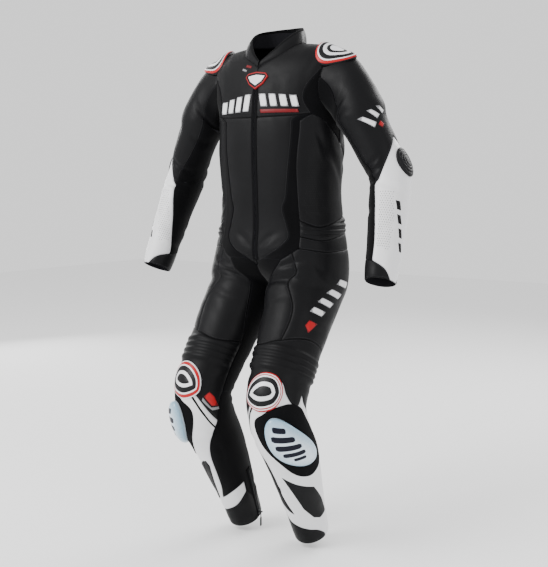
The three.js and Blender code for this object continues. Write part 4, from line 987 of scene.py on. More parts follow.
def directions(form, flat, height, side, rear):
    """Places on a form, with the direction along the flat row and the one outwards."""
    out = outwards(form, flat, side, rear)
    places = laid(form, flat, height, side, rear)
    along = np.gradient(places, axis=0)
    return places, unit(along - out * (along * out).sum(1)[:, None]), out


STITCH = {"half_long": 1.4, "half_wide": 0.42, "high": 0.36}
STITCH_PITCH = 4.2


def evenly(form, row, side, rear, pitch):
    """Flat places along a row, a pitch apart on the cloth itself."""
    lengths = travelled(laid(form, row, np.zeros(len(row)), side, rear))
    return stops(row, lengths, np.arange(pitch / 2, lengths[-1], pitch))


def sew(form, outline, kind, side, rear, distance=3.6, puff=0.9, dip=1.5, over=None):
    """A row of stitches inside the edge of a piece."""
    moved, keep = offset_row(outline, distance)
    keep = np.append(keep, False)
    start = None
    for k, kept in enumerate(keep):
        if kept and start is None:
            start = k
        if kept or start is None:
            continue
        row, start = moved[start:k], None
        if len(row) < 3:
            continue
        row = evenly(form, row, side, rear, STITCH_PITCH)
        if len(row) < 3:
            continue
        base = relief(form, row[:, 0] / form.across, row[:, 1], side)
        lift = over if over is not None else cover(np.full(len(row), distance), puff, dip)
        places, along, out = directions(form, row, base + lift, side, rear)
        gather(kind, places, along, out, **STITCH)


SIDES = {"left": 1, "right": -1}

# Body pieces: the runs round each, and what it is made of
BODY_PIECES = {
    "chest": ("shoulder armhole_high stretch_front -chest_outer -chest_inner -front_high -neck_front",
              "leather"),
    "armhole_stretch": ("stretch_front under_arm -armpit -armhole_low", "stretch"),
    "belly": ("chest_inner band_inner belly_low -front_low", "leather"),
    "front_band": ("band_inner band_end -band_low -band_high -band_waist -band_outer -chest_outer",
                   "stretch"),
    "side": ("under_arm side_back -ribs_top_side -band_outer", "leather"),
    "back": ("shoulder_back neck_back back_high -ribs_top_back -side_back -armpit -armhole_back", "leather"),
    "waist_ribs": ("ribs_top_side ribs_top_back back_waist -ribs_low_back -ribs_low_side -waist_front",
                   "leather"),
    "hip": ("ribs_low_side hip_back -hip -hip_front", "leather"),
    "seat": ("ribs_low_back back_low seat_inner seat_low -knee_back -thigh_back -hip_back", "leather"),
    "thigh_outer": ("hip thigh_back -knee_outer -double_seam -band_high", "leather"),
    "thigh_front": ("double_seam -knee_inner -inner_thigh -band_low", "leather"),
    "inner_thigh": ("-front_end -belly_low band_end inner_thigh knee_side inner_low -seat_inner+-2",
                    "stretch"),
    "knee_ribs": ("knee_inner knee_outer knee_back -shin_side -shin_top_outer -shin_top_inner -calf_side+-2 "
                  "-knee_side", "leather"),
    "shin": ("shin_top_inner shin_top_outer shin_outer hem_side -hem_low -shin_low -shin_tip -shin_notch "
             "-shin_inner", "white"),
    "calf": ("calf_top calf_side shin_inner+2 shin_notch+2 shin_tip+2 -hem_top -shin_outer shin_side",
             "stretch"),
    "hem": ("hem_top shin_low+2 -hem_round -hem_side", "leather"),
}
ARM_PIECES = {
    "sleeve_outer": ("cap front elbow_front elbow_rear -rear", "leather"),
    "sleeve_inner": ("cap_inner rear+360 forearm_rear+360 -cuff_inner -forearm_front -front", "stretch"),
    "forearm": ("forearm_front cuff_front -wrist_outer -cuff_rear -forearm_rear -elbow_rear -elbow_front",
                "white"),
    "cuff": ("cuff_inner cuff_rear+360 -wrist_inner -cuff_front", "leather"),
}
CLOTH = {
    "leather": {"materials": ("black_leather", "lining"), "slot": "leather", "thick": LEATHER},
    "white": {"materials": ("white_leather", "lining"), "slot": "white_leather", "thick": LEATHER},
    "stretch": {"materials": ("stretch", "lining"), "slot": "stretch", "thick": STRETCH, "puff": -0.7,
                "dip": 0.5},
}
THREAD = {"leather": "thread", "white": "white_thread"}
SHAPES = {"waist_ribs": (ribs(WAIST_RIBS), 3.5), "knee_ribs": (ribs(KNEE_RIBS), 4.5)}


def cut_out(pieces, runs, forms):
    """The cloth pieces of a table, left and right, with the stitches along their edges."""
    for kind, (names, cloth) in pieces.items():
        outline = outline_of(runs, names, forms[1].across)
        shape, spacing = SHAPES.get(kind, (None, 6.0))
        rear = kind == "back"
        for word, side in SIDES.items():
            piece(f"{kind}_{word}_cloth", forms[side], [outline], side, rear, shape=shape, spacing=spacing,
                  stands_for=f"{kind}_{word}", lined=True, **CLOTH[cloth])
            if cloth in THREAD:
                sew(forms[side], outline, THREAD[cloth], side, rear)


cut_out(BODY_PIECES, RUNS, {1: SUIT, -1: SUIT})
cut_out(ARM_PIECES, ARM_RUNS, SLEEVE)


# Cups, sliders and patches on the body and legs
def bands(*widths):
    """Colour of each ring from the edge in: pairs of a width and a material index, then the middle's."""
    def paint(edge, flat):
        out = np.full(len(edge), widths[-1])
        reached = 0.0
        for width, index in widths[:-1]:
            out[(edge >= reached) & (edge < reached + width)] = index
            reached += width
        return out
    return paint


def stepped(base, *grooves):
    """A shape with round grooves at distances in from its edge: each a distance, depth and half width."""
    def height(edge, flat):
        return base(edge, flat) - sum(deep * np.exp(-((edge - at) / wide) ** 2) for at, deep, wide in grooves)
    return height


KNEE_CUP = [(0.34, 988), (0.36, 958), (0.5, 936), (0.66, 938), (0.74, 966), (0.68, 994), (0.5, 1003)]
SLIDER_BASE = [(0.42, 1030), (0.56, 1006), (0.71, 992), (0.86, 986), (1, 1002), (1.12, 1060), (1.2, 1150),
               (1.13, 1184), (0.98, 1194), (0.86, 1190), (0.7, 1162), (0.55, 1100)]
SHIN_INSERT = [(0.55, 1174), (0.7, 1204), (0.92, 1238), (1.03, 1294), (1.1, 1350), (0.93, 1352), (0.82, 1338),
               (0.7, 1296)]
SLIDER = {"at": 0.79, "down": 1078, "wide": 0.21, "long": 66, "slant": 0.35}
ELBOW = {"at": -4, "down": 296, "wide": 34, "long": 36}
ELBOW_GROOVES = (8.0, 15.0, 22.0)
ON_CLOTH = 0.9
BASE_HIGH = 2.2
SHELLS = ("white_shell", "red_shell", "black_shell")
CUP_EDGES = {"left": (0.5, 1.4, 2.8, 4.8, 6.8, 8.2, 9.6, 14.0, 18.4, 25.4),
             "right": (0.5, 1.2, 2.4, 5.4, 8.4, 9.9, 11.4, 15.8, 20.4, 26.4)}
CUP_BANDS = {"left": bands((2.8, 1), (2.0, 0), (2.0, 1), (2.8, 0), (8.8, 2), (7.0, 0), 2),
             "right": bands((2.4, 0), (6.0, 1), (3.0, 0), (9.0, 2), (6.0, 0), 2)}


def ellipse(at, down, wide, long, corners):
    """A flat ring of places round a middle."""
    angle = np.linspace(0, 2 * math.pi, corners, endpoint=False)
    return np.stack([at + wide * np.cos(angle), down + long * np.sin(angle)], axis=1)


def slider_ring():
    """The slider's outline: an ellipse that leans across the knee."""
    across, along = ellipse(0, 0, SLIDER["wide"], SLIDER["long"], 64).T
    u = SLIDER["at"] + across + SLIDER["slant"] * along / AROUND
    return np.stack([u * AROUND, SLIDER["down"] + along + SLIDER["slant"] * across * AROUND / 2], axis=1)


def slider_height(edge, flat):
    """A puck: steep rim, rounded shoulder and a crown that goes on rising a little to the middle."""
    rise = crown(23.0, 26, 7.0)(edge, flat)
    return rise + 1.2 * smooth(20, 50, edge)


def slots():
    """Plain moulded grooves: leaning slots across the slider, the middle one the longest. Each is laid on the
    puck's face as a dark patch, painted shade for the groove.
    """
    rows = table("a down half thick", [
        (0.70, 1028, 0.052, 9), (0.72, 1045, 0.092, 11), (0.75, 1064, 0.104, 12), (0.78, 1083, 0.092, 11),
        (0.81, 1100, 0.052, 9),
    ])
    lean = SLIDER["slant"] * AROUND / 2
    corners = [(-1, -0.6), (-0.8, -1), (0.8, -1), (1, -0.6), (1, 0.6), (0.8, 1), (-0.8, 1), (-1, 0.6)]
    return [polygon([(row["a"] + x * row["half"], row["down"] + y * row["thick"] / 2 + lean * x * row["half"])
                     for x, y in corners], AROUND, 2.5) for row in rows]


SLIDER_FLAT = slider_ring()


def on_slider(edge, flat):
    """Height of the slider's face, and a little over it."""
    return slider_height(edge_distance(flat, SLIDER_FLAT)[0], flat) + 0.12


def knee_slider(word, side):
    """The hook-and-loop base, the plastic puck on it and the slots in its face, as dark patches of painted
    shade.
    """
    piece(f"slider_base_{word}_pile", SUIT, [closed_curve(SLIDER_BASE, AROUND)], side, over=ON_CLOTH,
          rows=(0.8, 2.4, 5), shape=crown(BASE_HIGH, 3.0, 1.3), spacing=5, materials=("hook_pile",),
          slot="moulded_base", stands_for=f"slider_base_{word}", sheet=False)
    kept = {"slot": "slider_plastic", "stands_for": f"knee_slider_{word}", "sheet": False}
    piece(f"knee_slider_{word}_puck", SUIT, [SLIDER_FLAT], side, over=ON_CLOTH + BASE_HIGH - 0.2,
          rows=(0.4, 1.2, 2.4, 4, 6, 8.5, 11.5, 15, 19, 24), shape=stepped(slider_height, (12.5, 1.0, 1.0)),
          spacing=3.2, materials=("ice_plastic",), **kept)
    # The slots: dark patches just over the puck's face, painted shade for its grooves.
    piece(f"knee_slider_{word}_grooves", SUIT, slots(), side, over=ON_CLOTH + BASE_HIGH, rows=(1.0,),
          shape=on_slider, spacing=3, materials=("painted_groove_shade",), **kept)


def knee_cup(word, side):
    """The hard cup over the kneecap, with a groove between its rings."""
    rows = CUP_EDGES[word]
    grooves = [(rows[2], 0.5, 0.6), (rows[4], 0.5, 0.6), (rows[6], 0.9, 0.9), (rows[8], 0.9, 0.9),
               (rows[9], 0.7, 0.9)]
    piece(f"knee_cup_{word}_shell", SUIT, [closed_curve(KNEE_CUP, AROUND)], side, over=ON_CLOTH, rows=rows,
          spacing=2.8, paint=CUP_BANDS[word], shape=stepped(crown(9.3, 20, 2.5), *grooves), materials=SHELLS,
          slot="hard_shell", stands_for=f"knee_cup_{word}", sheet=False)


def shin_insert(word, side):
    """The black fin on the shin, and its stitches."""
    fin = polygon(SHIN_INSERT, AROUND)
    piece(f"shin_insert_{word}_fin", SUIT, [fin], side, over=ON_CLOTH + 0.5, rows=(0.7, 3), spacing=5,
          shape=crown(0.8, 2.5, 0.1), stands_for=f"shin_insert_{word}")
    sew(SUIT, fin, "thread", side, False, distance=3.4, over=ON_CLOTH + 1.3)


def elbow_pad(word, side):
    """The round moulded pad on the elbow, with rows of points close together at each groove."""
    near_grooves = [groove + step for groove in ELBOW_GROOVES for step in (-1.3, 0, 1.3)]
    deep = dict(zip(ELBOW_GROOVES, (1.6, 1.6, 1.5)))
    piece(f"elbow_pad_{word}_shell", SLEEVE[side], [ellipse(**ELBOW, corners=48)], side, over=ON_CLOTH,
          rows=sorted([0.6, 1.6, 3, 5, 12, 19] + near_grooves), spacing=3,
          shape=stepped(crown(8.2, 22, 2.5), *[(groove, deep[groove], 1.2) for groove in ELBOW_GROOVES]),
          materials=("rubber",), slot="moulded_base", stands_for=f"elbow_pad_{word}", sheet=False)


for word, side in SIDES.items():
    for make in (knee_slider, knee_cup, shin_insert, elbow_pad):
        make(word, side)


# Coloured leather patches: plain bars, points, a wedge and piping
def slanted(a, down, wide, long, lean):
    """A leaning bar with its top left corner at (a, down)."""
    return [(a, down), (a + wide, down), (a + wide + lean, down + long), (a + lean, down + long)]


def mirrored(corners):
    """The corners on the other side of the middle, in the same sense of turning."""
    return [(-x, down) for x, down in corners[::-1]]


def box(a0, d0, a1, d1):
    """The corners of a flat strip."""
    return [(a0, d0), (a1, d0), (a1, d1), (a0, d1)]


CHEST_BARS_LEFT = [slanted(12 + 29 * k, 160, 20, 24, 8) for k in range(4)]
CHEST_BARS_RIGHT = [mirrored(slanted(14 + 29 * k, 160 + 2.5 * k, 20, 32 - 2 * k, 6)) for k in range(4)]
CHEST_LINES = [slanted(18, 189, 104, 7, 3)]

# Columns: name, form, side, the node under them, material, height over the cloth, and their corners
PATCHES = [
    ("chest_bars_left", CENTRE, "left", "chest_left", "white_leather", 0.5, CHEST_BARS_LEFT),
    ("chest_bars_right", CENTRE, "left", "chest_right", "white_leather", 0.5, CHEST_BARS_RIGHT),
    ("chest_line_left", CENTRE, "left", "chest_left", "red_leather", 0.5, CHEST_LINES),
    ("neck_dash_right", CENTRE, "left", "chest_right", "red_leather", 0.5,
     [[(-42, 92), (-23, 98), (-25, 103), (-44, 97)]]),
    ("neck_dash_white_right", CENTRE, "left", "chest_right", "white_leather", 0.5,
     [[(-53, 99), (-38, 105), (-40, 109), (-55, 103)]]),
    ("thigh_bars_left", SUIT, "left", "thigh_outer_left", "white_leather", 0.5,
     [slanted(0.965 - 0.052 * k, 636 + 34 * k, 0.16 - 0.012 * k, 17, -0.03) for k in range(4)]),
    ("thigh_point_left", SUIT, "left", "thigh_outer_left", "red_leather", 0.5,
     [[(0.80, 778), (0.89, 778), (0.825, 812), (0.775, 796)]]),
    ("sleeve_bars_left", SLEEVE[1], "left", "sleeve_outer_left", "white_leather", 0.5,
     [[(64, 160), (78, 160), (46, 196), (36, 186)], [(40, 150), (52, 150), (30, 178), (20, 168)],
      [(16, 146), (26, 146), (10, 168), (2, 160)]]),
    ("sleeve_point_left", SLEEVE[1], "left", "sleeve_outer_left", "red_leather", 0.5,
     [[(24, 184), (34, 192), (26, 202), (16, 194)]]),
    ("forearm_bars_left", SLEEVE[1], "left", "forearm_left", "black_leather", 0.45,
     [slanted(26 - 9 * k, 398 + 34 * k, 13, 22, -7) for k in range(4)]),
    ("forearm_bars_right", SLEEVE[-1], "right", "forearm_right", "black_leather", 0.45,
     [slanted(-34 + 8 * k, 398 + 34 * k, 12, 22, 6) for k in range(4)]),
    ("knee_point_right", SUIT, "right", "knee_ribs_right", "red_leather", 0.5,
     [[(0.285, 996), (0.23, 986), (0.17, 996), (0.125, 1017), (0.2, 1016)]]),
    ("knee_point_edge_right", SUIT, "right", "knee_ribs_right", "white_leather", 0.5,
     [[(0.295, 998), (0.205, 1019), (0.12, 1020), (0.12, 1025), (0.2, 1025), (0.305, 1004)]]),
    ("shin_wedge_right", SUIT, "right", "shin_right", "black_leather", 0.45,
     [[(0.5, 1172), (0.58, 1180), (0.73, 1285), (0.85, 1338), (0.9, 1351), (0.76, 1350), (0.6, 1320),
       (0.52, 1240), (0.475, 1190)]]),
    *[(f"shin_piping_{word}", SUIT, word, f"shin_{word}", "black_leather", 0.4,
       [[(0.455, 992), (0.375, 1010), (0.295, 1034), (0.205, 1068), (0.195, 1064), (0.285, 1030),
         (0.365, 1006), (0.44, 989)]]) for word in SIDES],
]
for name, form, word, under, material, lift, shapes in PATCHES:
    piece(f"patch_{name}", form, [polygon(corners, form.across, 2.5) for corners in shapes], SIDES[word],
          over=ON_CLOTH + lift, rows=(0.5,), spacing=5, shape=crown(0.15, 0.8, -0.2), materials=(material,),
          stands_for=under)

# Throat tab: a white shield with a black ring and a red edge
THROAT_TAB = [(0, 114), (28, 116), (36, 124), (22, 141), (0, 152), (-22, 141), (-36, 124), (-28, 116)]
piece("throat_tab_shield", CENTRE, [polygon(THROAT_TAB, 1.0, 2.0)], over=ON_CLOTH + 2.6, rows=(0.5, 2.8, 7.4),
      spacing=3.2, shape=crown(0.6, 2.0, -0.1), paint=bands((2.8, 0), (4.6, 2), 1),
      materials=("red_leather", "white_leather", "black_leather"),
      slot="red_leather", stands_for="throat_tab")
sew(CENTRE, polygon(THROAT_TAB, 1.0, 2.0), "thread", 1, False, distance=4.8, over=ON_CLOTH + 3.2)

# Front zip: two tapes, with the teeth between them
ZIP = {"top": 150, "low": 606, "wide": 9, "coil": 2.2}
TOOTH = {"half_long": 1.35, "half_wide": 0.75, "high": 0.75, "sunk": 0.5}
TAPE = box(ZIP["coil"], ZIP["top"], ZIP["wide"], ZIP["low"])
STRIP = box(-ZIP["coil"] - 0.6, ZIP["top"], ZIP["coil"] + 0.6, ZIP["low"])
piece("front_zip_tapes", CENTRE, [polygon(corners, 1.0, 4) for corners in (TAPE, mirrored(TAPE))],
      over=ON_CLOTH + 0.1, rows=(0.8, 2.0), spacing=4, shape=crown(0.5, 1.6, 0.0), materials=("zip_tape",),
      slot="zip_tape", stands_for="front_zip")
piece("front_zip_cord", CENTRE, [polygon(STRIP, 1.0, 4)], over=ON_CLOTH - 0.2, rows=(0.8,), spacing=4,
      materials=("zip_tape",), slot="zip_tape", stands_for="front_zip")


def zip_teeth(kind, form, middle, top, low, side, lift):
    """Two rows of teeth that interlock along the middle of a zip."""
    pitch = 2.7
    for hand in (-1, 1):
        row = np.array([[middle + hand, down] for down in np.arange(top, low, 3.0)], float)
        row = evenly(form, row, side, False, pitch)
        row[:, 1] += pitch / 4 * hand
        base = relief(form, row[:, 0] / form.across, row[:, 1], side)
        places, along, out = directions(form, row, base + lift, side, False)
        across = np.cross(out, along)
        gather(kind, places, across, out, **TOOTH)


zip_teeth("teeth", CENTRE, 0.0, ZIP["top"], ZIP["low"] - 2, 1, ON_CLOTH + 0.5)

# Ankle zips up the inside of the ankle, closed downwards
ANKLE_ZIP = {"u": 1.95, "top": 1250, "low": 1426, "wide": 0.044}
ANKLE_TEETH = {"top": ANKLE_ZIP["top"] + 6, "low": 1408}
for word, side in SIDES.items():
    strip = box(ANKLE_ZIP["u"] - ANKLE_ZIP["wide"], ANKLE_ZIP["top"], ANKLE_ZIP["u"] + ANKLE_ZIP["wide"],
                ANKLE_ZIP["low"])
    piece(f"ankle_zip_{word}_tape", SUIT, [polygon(strip, AROUND, 4)], side, over=ON_CLOTH + 0.3,
          rows=(0.8, 3), spacing=4, shape=crown(0.5, 2, 0.0), materials=("zip_tape",), slot="zip_tape",
          stands_for=f"ankle_zip_{word}")
    zip_teeth(f"teeth_{word}", SUIT, ANKLE_ZIP["u"] * AROUND, **ANKLE_TEETH, side=side, lift=ON_CLOTH + 0.9)


def solid(name, blocks, place, axes, body, stands_for):
    """Enamelled blocks with rounded edges, in one piece. Each has a size, a centre and an edge radius."""
    mesh = bmesh.new()
    for size, centre, radius in blocks:
        made = bmesh.ops.create_cube(mesh, size=1)["verts"]
        bmesh.ops.scale(mesh, vec=Vector(size), verts=made)
        edges = list({edge for vert in made for edge in vert.link_edges})
        bevelled = bmesh.ops.bevel(mesh, geom=edges, offset=radius, segments=2, affect="EDGES", profile=0.5)
        corners = {v for f in bevelled["faces"] for v in f.verts} | {v for v in made if v.is_valid}
        for vert in corners:
            vert.co = Vector(in_frame(np.array(vert.co) + centre, place, axes) * MM)
    data = bpy.data.meshes.new(name)
    bmesh.ops.recalc_face_normals(mesh, faces=mesh.faces)
    mesh.to_mesh(data)
    mesh.free()
    data.materials.append(MATERIALS["enamel"])
    data.polygons.foreach_set("use_smooth", [False] * len(data.polygons))
    obj = bpy.data.objects.new(name, data)
    bpy.context.scene.collection.objects.link(obj)
    settle(obj, stands_for, body)


def in_frame(local, place, axes):
    """A place of the slider's own frame, on the suit."""
    return place + axes[0] * local[0] + axes[1] * local[1] + axes[2] * local[2]


def eye(name, height, place, axes, body, stands_for):
    """A ring round the slider's bar, whose axis runs along the bar."""
    turns, radius, bore, half = 20, 2.6, 1.4, 2.2
    points, faces = [], []
    for x, r in ((-half, bore), (-half, radius), (half, radius), (half, bore)):
        for k in range(turns):
            t = 2 * math.pi * k / turns
            points.append(in_frame((x, r * math.cos(t), height + r * math.sin(t)), place, axes))
    for ring in range(4):
        after = (ring + 1) % 4
        for k in range(turns):
            q = (k + 1) % turns
            faces.append((ring * turns + k, ring * turns + q, after * turns + q, after * turns + k))
    settle(new_object(name, points, faces, ("enamel",), smooth=False), stands_for, body)


# Zip slider and pull tab at the left ankle, in the slider's own frame, and mirrored at the right
SLIDER_PLACE = (69.32, -19.43, -1322.54)
SLIDER_BAR = (-0.149173, -0.988811, 0)
SLIDER_AWAY = (-0.988811, 0.149173, 0)
ZIP_SLIDER = {"high": 3.4, "post": 1.6, "bar_high": 9, "gap": 5.2}
TAB = {"wide": 4.4, "long": 42, "grip": 9, "grip_long": 26}
BAR_OUT = ZIP_SLIDER["high"] + ZIP_SLIDER["bar_high"] / 2
for word, side in SIDES.items():
    mirror = np.array([side, 1, 1])
    place = np.array(SLIDER_PLACE) * mirror
    axes = [np.array(SLIDER_BAR) * mirror, np.array([0, 0, 1.0]), np.array(SLIDER_AWAY) * mirror]
    high, post, gap = ZIP_SLIDER["high"], ZIP_SLIDER["post"], ZIP_SLIDER["gap"]
    post_x = gap / 2 + post / 2
    solid(f"ankle_zip_{word}_slider", [
        ((8.6, 12.6, 1.3), (0, 0, 0.5), 0.5),
        ((8.6, 12.6, 1.2), (0, 0, 2.6), 0.5),
        ((3.0, 3.6, 3.0), (0, 3.6, 1.6), 0.3),
        ((post, 4, 9), (post_x, 0, high + 4.3), 0.4),
        ((post, 4, 9), (-post_x, 0, high + 4.3), 0.4),
        ((gap + post, 1.8, 1.8), (0, 0, BAR_OUT), 0.5),
    ], place, axes, "suit", f"ankle_zip_{word}")
    neck = TAB["long"] - TAB["grip_long"]
    solid(f"pull_tab_{word}_grip", [
        ((TAB["wide"] - 0.4, neck, 1.5), (0, -neck / 2 - 1.4, BAR_OUT), 0.4),
        ((TAB["grip"], TAB["grip_long"], 2.4), (0, -neck - TAB["grip_long"] / 2, BAR_OUT), 0.9),
        *[((TAB["grip"] - 2.4, 1.4, 3.2), (0, -neck - 4.5 - 3.6 * k, BAR_OUT), 0.5) for k in range(5)],
    ], place, axes, f"tab_{word}", f"pull_tab_{word}")
    eye(f"pull_tab_{word}_eye", BAR_OUT, place, axes, f"tab_{word}", f"pull_tab_{word}")

# Collar: a padded band from the neckline to its rim, rolled over at the top
COLLAR_RIM = np.array([(0, 44, 56), (25, 40, 55), (48, 27, 52), (64, 8, 48), (71, -18, 40), (68, -44, 27),
                       (54, -69, 7), (30, -92, -22), (2.5, -107, -47)], float)
COLLAR = {"wall": 3.4, "steps": 48, "middle_y": -20, "bulge": 3.1, "gap": 0.4}


def rim_curve(t):
    """The collar's upper edge from the centre back to the centre front."""
    ends = np.vstack([2 * COLLAR_RIM[0] - COLLAR_RIM[1], COLLAR_RIM, 2 * COLLAR_RIM[-1] - COLLAR_RIM[-2]])
    spot = t * (len(COLLAR_RIM) - 1)
    k = min(int(spot), len(COLLAR_RIM) - 2)
    return smooth_stretch(*ends[k:k + 4], spot - k)


def neckline(t):
    """The neckline from the centre back over the shoulder to the centre front."""
    down = np.array([NECK_FRONT * abs(1 - 2 * t)])
    return suit_at(np.array([2.0 if t < 0.5 else 0.0]), down, np.array([t < 0.5]))[0]


def collar():
    """The collar's band: up outside, over its rim and down inside, at each step round the neck."""
    up_steps, cap_steps = 8, 5
    wall, bulge = COLLAR["wall"], COLLAR["bulge"]
    sections = []
    for k in range(-COLLAR["steps"], COLLAR["steps"] + 1):
        t = abs(k) / COLLAR["steps"]
        foot, rim = neckline(t), rim_curve(t)
        middle = (foot + rim) / 2
        inwards = unit(np.array([-middle[0], COLLAR["middle_y"] - middle[1], 0.0]))
        rise = unit(rim - foot)
        swell = 0.5 * math.sin(23 * t + (1 if k < 0 else 0)) * math.sin(math.pi * t)
        ups = [j / up_steps for j in range(up_steps + 1)]
        wall_line = [foot - rise * 2 * (1 - s) + (rim - foot) * s * 0.98 for s in ups]
        ring = [at - inwards * ((bulge + swell) * math.sin(math.pi * s) ** 0.8)
                for s, at in zip(ups, wall_line)]
        for j in range(1, cap_steps):
            turn = math.pi * j / cap_steps
            ring.append(rim + (rim - foot) * -0.02 + inwards * wall * (1 - math.cos(turn)) / 2
                        + rise * 1.9 * math.sin(turn))
        ring += [at + inwards * (wall - 0.8 * bulge * math.sin(math.pi * s))
                 for s, at in reversed(list(zip(ups, wall_line)))]
        ring = np.array(ring)
        ring[:, 0] = np.maximum(ring[:, 0], COLLAR["gap"] if t > 0.999 else 0) * (1 if k < 0 else -1)
        sections.append(ring)
    per = len(sections[0])
    points = np.vstack(sections)
    faces, paint = [], []
    for k in range(len(sections) - 1):
        for c in range(per):
            d = (c + 1) % per
            faces.append((k * per + c, k * per + d, (k + 1) * per + d, (k + 1) * per + c))
            paint.append(1 if up_steps - 1 <= c <= up_steps + cap_steps else 2 if c > up_steps else 0)
    faces.append(tuple(range(per)))
    faces.append(tuple(range((len(sections) - 1) * per, len(sections) * per))[::-1])
    paint += [0, 0]
    # A distance of 20 from the edge keeps the painted seam shade off the collar.
    obj = new_object("collar_band", points, faces, ("black_leather", "stretch", "lining"), paint,
                     np.full(len(points), 20.0))
    settle(obj, "collar")
    rim = np.array([section[up_steps] for section in sections])
    length = np.linalg.norm(np.diff(rim, axis=0), axis=1).sum() * MM


collar()

# Shoulder cups lie over the armhole seam. A ray finds the cloth under each place. Rings are a distance in
# from the edge and a colour, grooves a distance, a depth and a half width.
CUP = {"centre": (198, -34, -16), "up": (0.42, -0.28, 0.86), "along": 54, "across": 50, "rear": 0.72,
       "pinch": 0.09, "high": 11, "shoulder": 24, "rim": 4.5, "skirt": 9, "lowest": -26, "turns": 84}
CUP_RINGS = ((4.2, 1), (7.0, 0), (16.4, 2), (25.0, 0), (33.0, 2), (60.0, 0))
CUP_GROOVES = ((4.6, 0.6, 0.8), (7.2, 0.6, 0.8), (15.6, 1.0, 1.0), (24.0, 0.9, 1.0))
NO_CLOTH = -99.0
CUP_UNDER = ("chest", "armhole_stretch", "back", "sleeve_outer", "sleeve_inner")


def cup_ground(word, place, out):
    """How far the cloth lies above the cup's own plane at a place, or far below where there is none."""
    trees = []
    for kind in CUP_UNDER:
        mesh = PIECES[f"{kind}_{word}_cloth"].data
        trees.append(BVHTree.FromPolygons([v.co for v in mesh.vertices],
                                          [tuple(p.vertices) for p in mesh.polygons]))
    start = 0.1

    def height(x, y):
        above = Vector(place(x, y, 0) * MM) + out * start
        gaps = [hit[3] for hit in (tree.ray_cast(above, -out) for tree in trees) if hit[0] is not None]
        return (start - min(gaps)) / MM if gaps else NO_CLOTH
    return height


def fitted(x, y, ground):
    """A smooth sheet of the second degree through the cloth's heights, without the odd ones."""
    powers = [(i, j) for i in range(3) for j in range(3 - i)]
    terms = np.stack([(x / 50) ** i * (y / 50) ** j for i, j in powers], axis=-1).reshape(-1, len(powers))
    found = ground.reshape(-1)
    near = found > CUP["lowest"]
    for _ in range(3):
        fit = terms @ np.linalg.lstsq(terms[near], found[near], rcond=None)[0]
        near = (found > CUP["lowest"]) & (np.abs(found - fit) < 6)
    return fit.reshape(ground.shape)


def shoulder_cup(word, side):
    """A domed hard cup with coloured rings, fitted to the cloth under it."""
    up = unit(np.array(CUP["up"]))
    e1 = unit(np.array([1.0, 0, 0]) - up * up[0])
    e2 = np.cross(up, e1)
    mirror = np.array([side, 1, 1])
    turns = CUP["turns"]

    def place(px, py, h):
        parts = [np.asarray(value)[..., None] * axis for value, axis in ((px, e1), (py, e2), (h, up))]
        return (np.array(CUP["centre"]) + parts[0] + parts[1] + parts[2]) * mirror

    height = cup_ground(word, place, Vector(up * mirror))
    limits = [0.0] + [limit / CUP["across"] for limit, _ in CUP_RINGS[:-1]] + [1.0]
    steps = [np.linspace(a, b, max(3, round((b - a) * 40)), endpoint=False)
             for a, b in zip(limits, limits[1:])]
    share = 1 - np.unique(np.concatenate(steps + [[1.0]]))[::-1]
    rings = len(share) - 1
    angles = np.linspace(0, 2 * math.pi, turns, endpoint=False)
    pinch = 1 + CUP["pinch"] * np.cos(3 * angles)
    x = np.outer(share, CUP["along"] * pinch * np.cos(angles))
    y = np.outer(share, CUP["across"] * pinch * np.sin(angles) * np.where(angles < math.pi, CUP["rear"], 1))
    ground = np.array([[height(x[r, k], y[r, k]) for k in range(turns)] for r in range(rings + 1)])
    inward = (1 - share)[:, None] * CUP["across"]
    dome = stepped(crown(CUP["high"], CUP["shoulder"], CUP["rim"]), *CUP_GROOVES)(inward, None)
    top = fitted(x, y, ground) + dome
    points = np.vstack([place(x, y, top).reshape(-1, 3), place(x[-1], y[-1], top[-1] - CUP["skirt"])])
    faces, paint = [], []
    for r in range(rings + 1):
        depth = (1 - (share[r] + share[min(r + 1, rings)]) / 2) * CUP["across"]
        colour = next(index for limit, index in CUP_RINGS if depth < limit) if r < rings else 2
        for k in range(turns):
            q = (k + 1) % turns
            faces.append((r * turns + k, (r + 1) * turns + k, (r + 1) * turns + q, r * turns + q))
            paint.append(colour)
    base = (rings + 1) * turns
    faces.append(tuple(range(base + turns - 1, base - 1, -1)))
    paint.append(2)
    if side < 0:
        faces = [face[::-1] for face in faces]
    settle(new_object(f"shoulder_cup_{word}_shell", points, faces, SHELLS, paint),
           f"shoulder_cup_{word}")


for word, side in SIDES.items():
    shoulder_cup(word, side)


def perforate(kind, form, region, pitch, side, radius):
    """Round holes over a flat region, as little dark discs in rows that stagger."""
    low, high = region.min(0), region.max(0)
    spots = np.array([(a, down) for k, down in enumerate(np.arange(low[1], high[1], pitch * 0.87))
                      for a in np.arange(low[0] + (pitch / 2 if k % 2 else 0), high[0], pitch)])
    spots = spots[inside(spots, region)]
    spots = spots[edge_distance(spots, region)[0] > 1.0]
    base = relief(form, spots[:, 0] / form.across, spots[:, 1], side)
    places = laid(form, spots, base + ON_CLOTH + 0.05, side, False)
    out = outwards(form, spots, side, False)
    along = unit(np.cross(out, [0.0, 0.0, 1.0]))
    across = np.cross(out, along)
    corners = [places + radius * (math.cos(t) * along + math.sin(t) * across)
               for t in np.linspace(0, 2 * math.pi, 7)[:-1]]
    store(kind, corners, [(0, 1, 2), (0, 2, 3), (0, 3, 4), (0, 4, 5)])


FOREARM_HOLES = [(46, 374), (84, 372), (84, 520), (42, 528), (36, 450)]
SIDE_HOLES = [(0.56, 262), (0.74, 262), (0.98, 300), (1.06, 440), (0.68, 458), (0.5, 444)]
HOLE_PITCH = 7.0


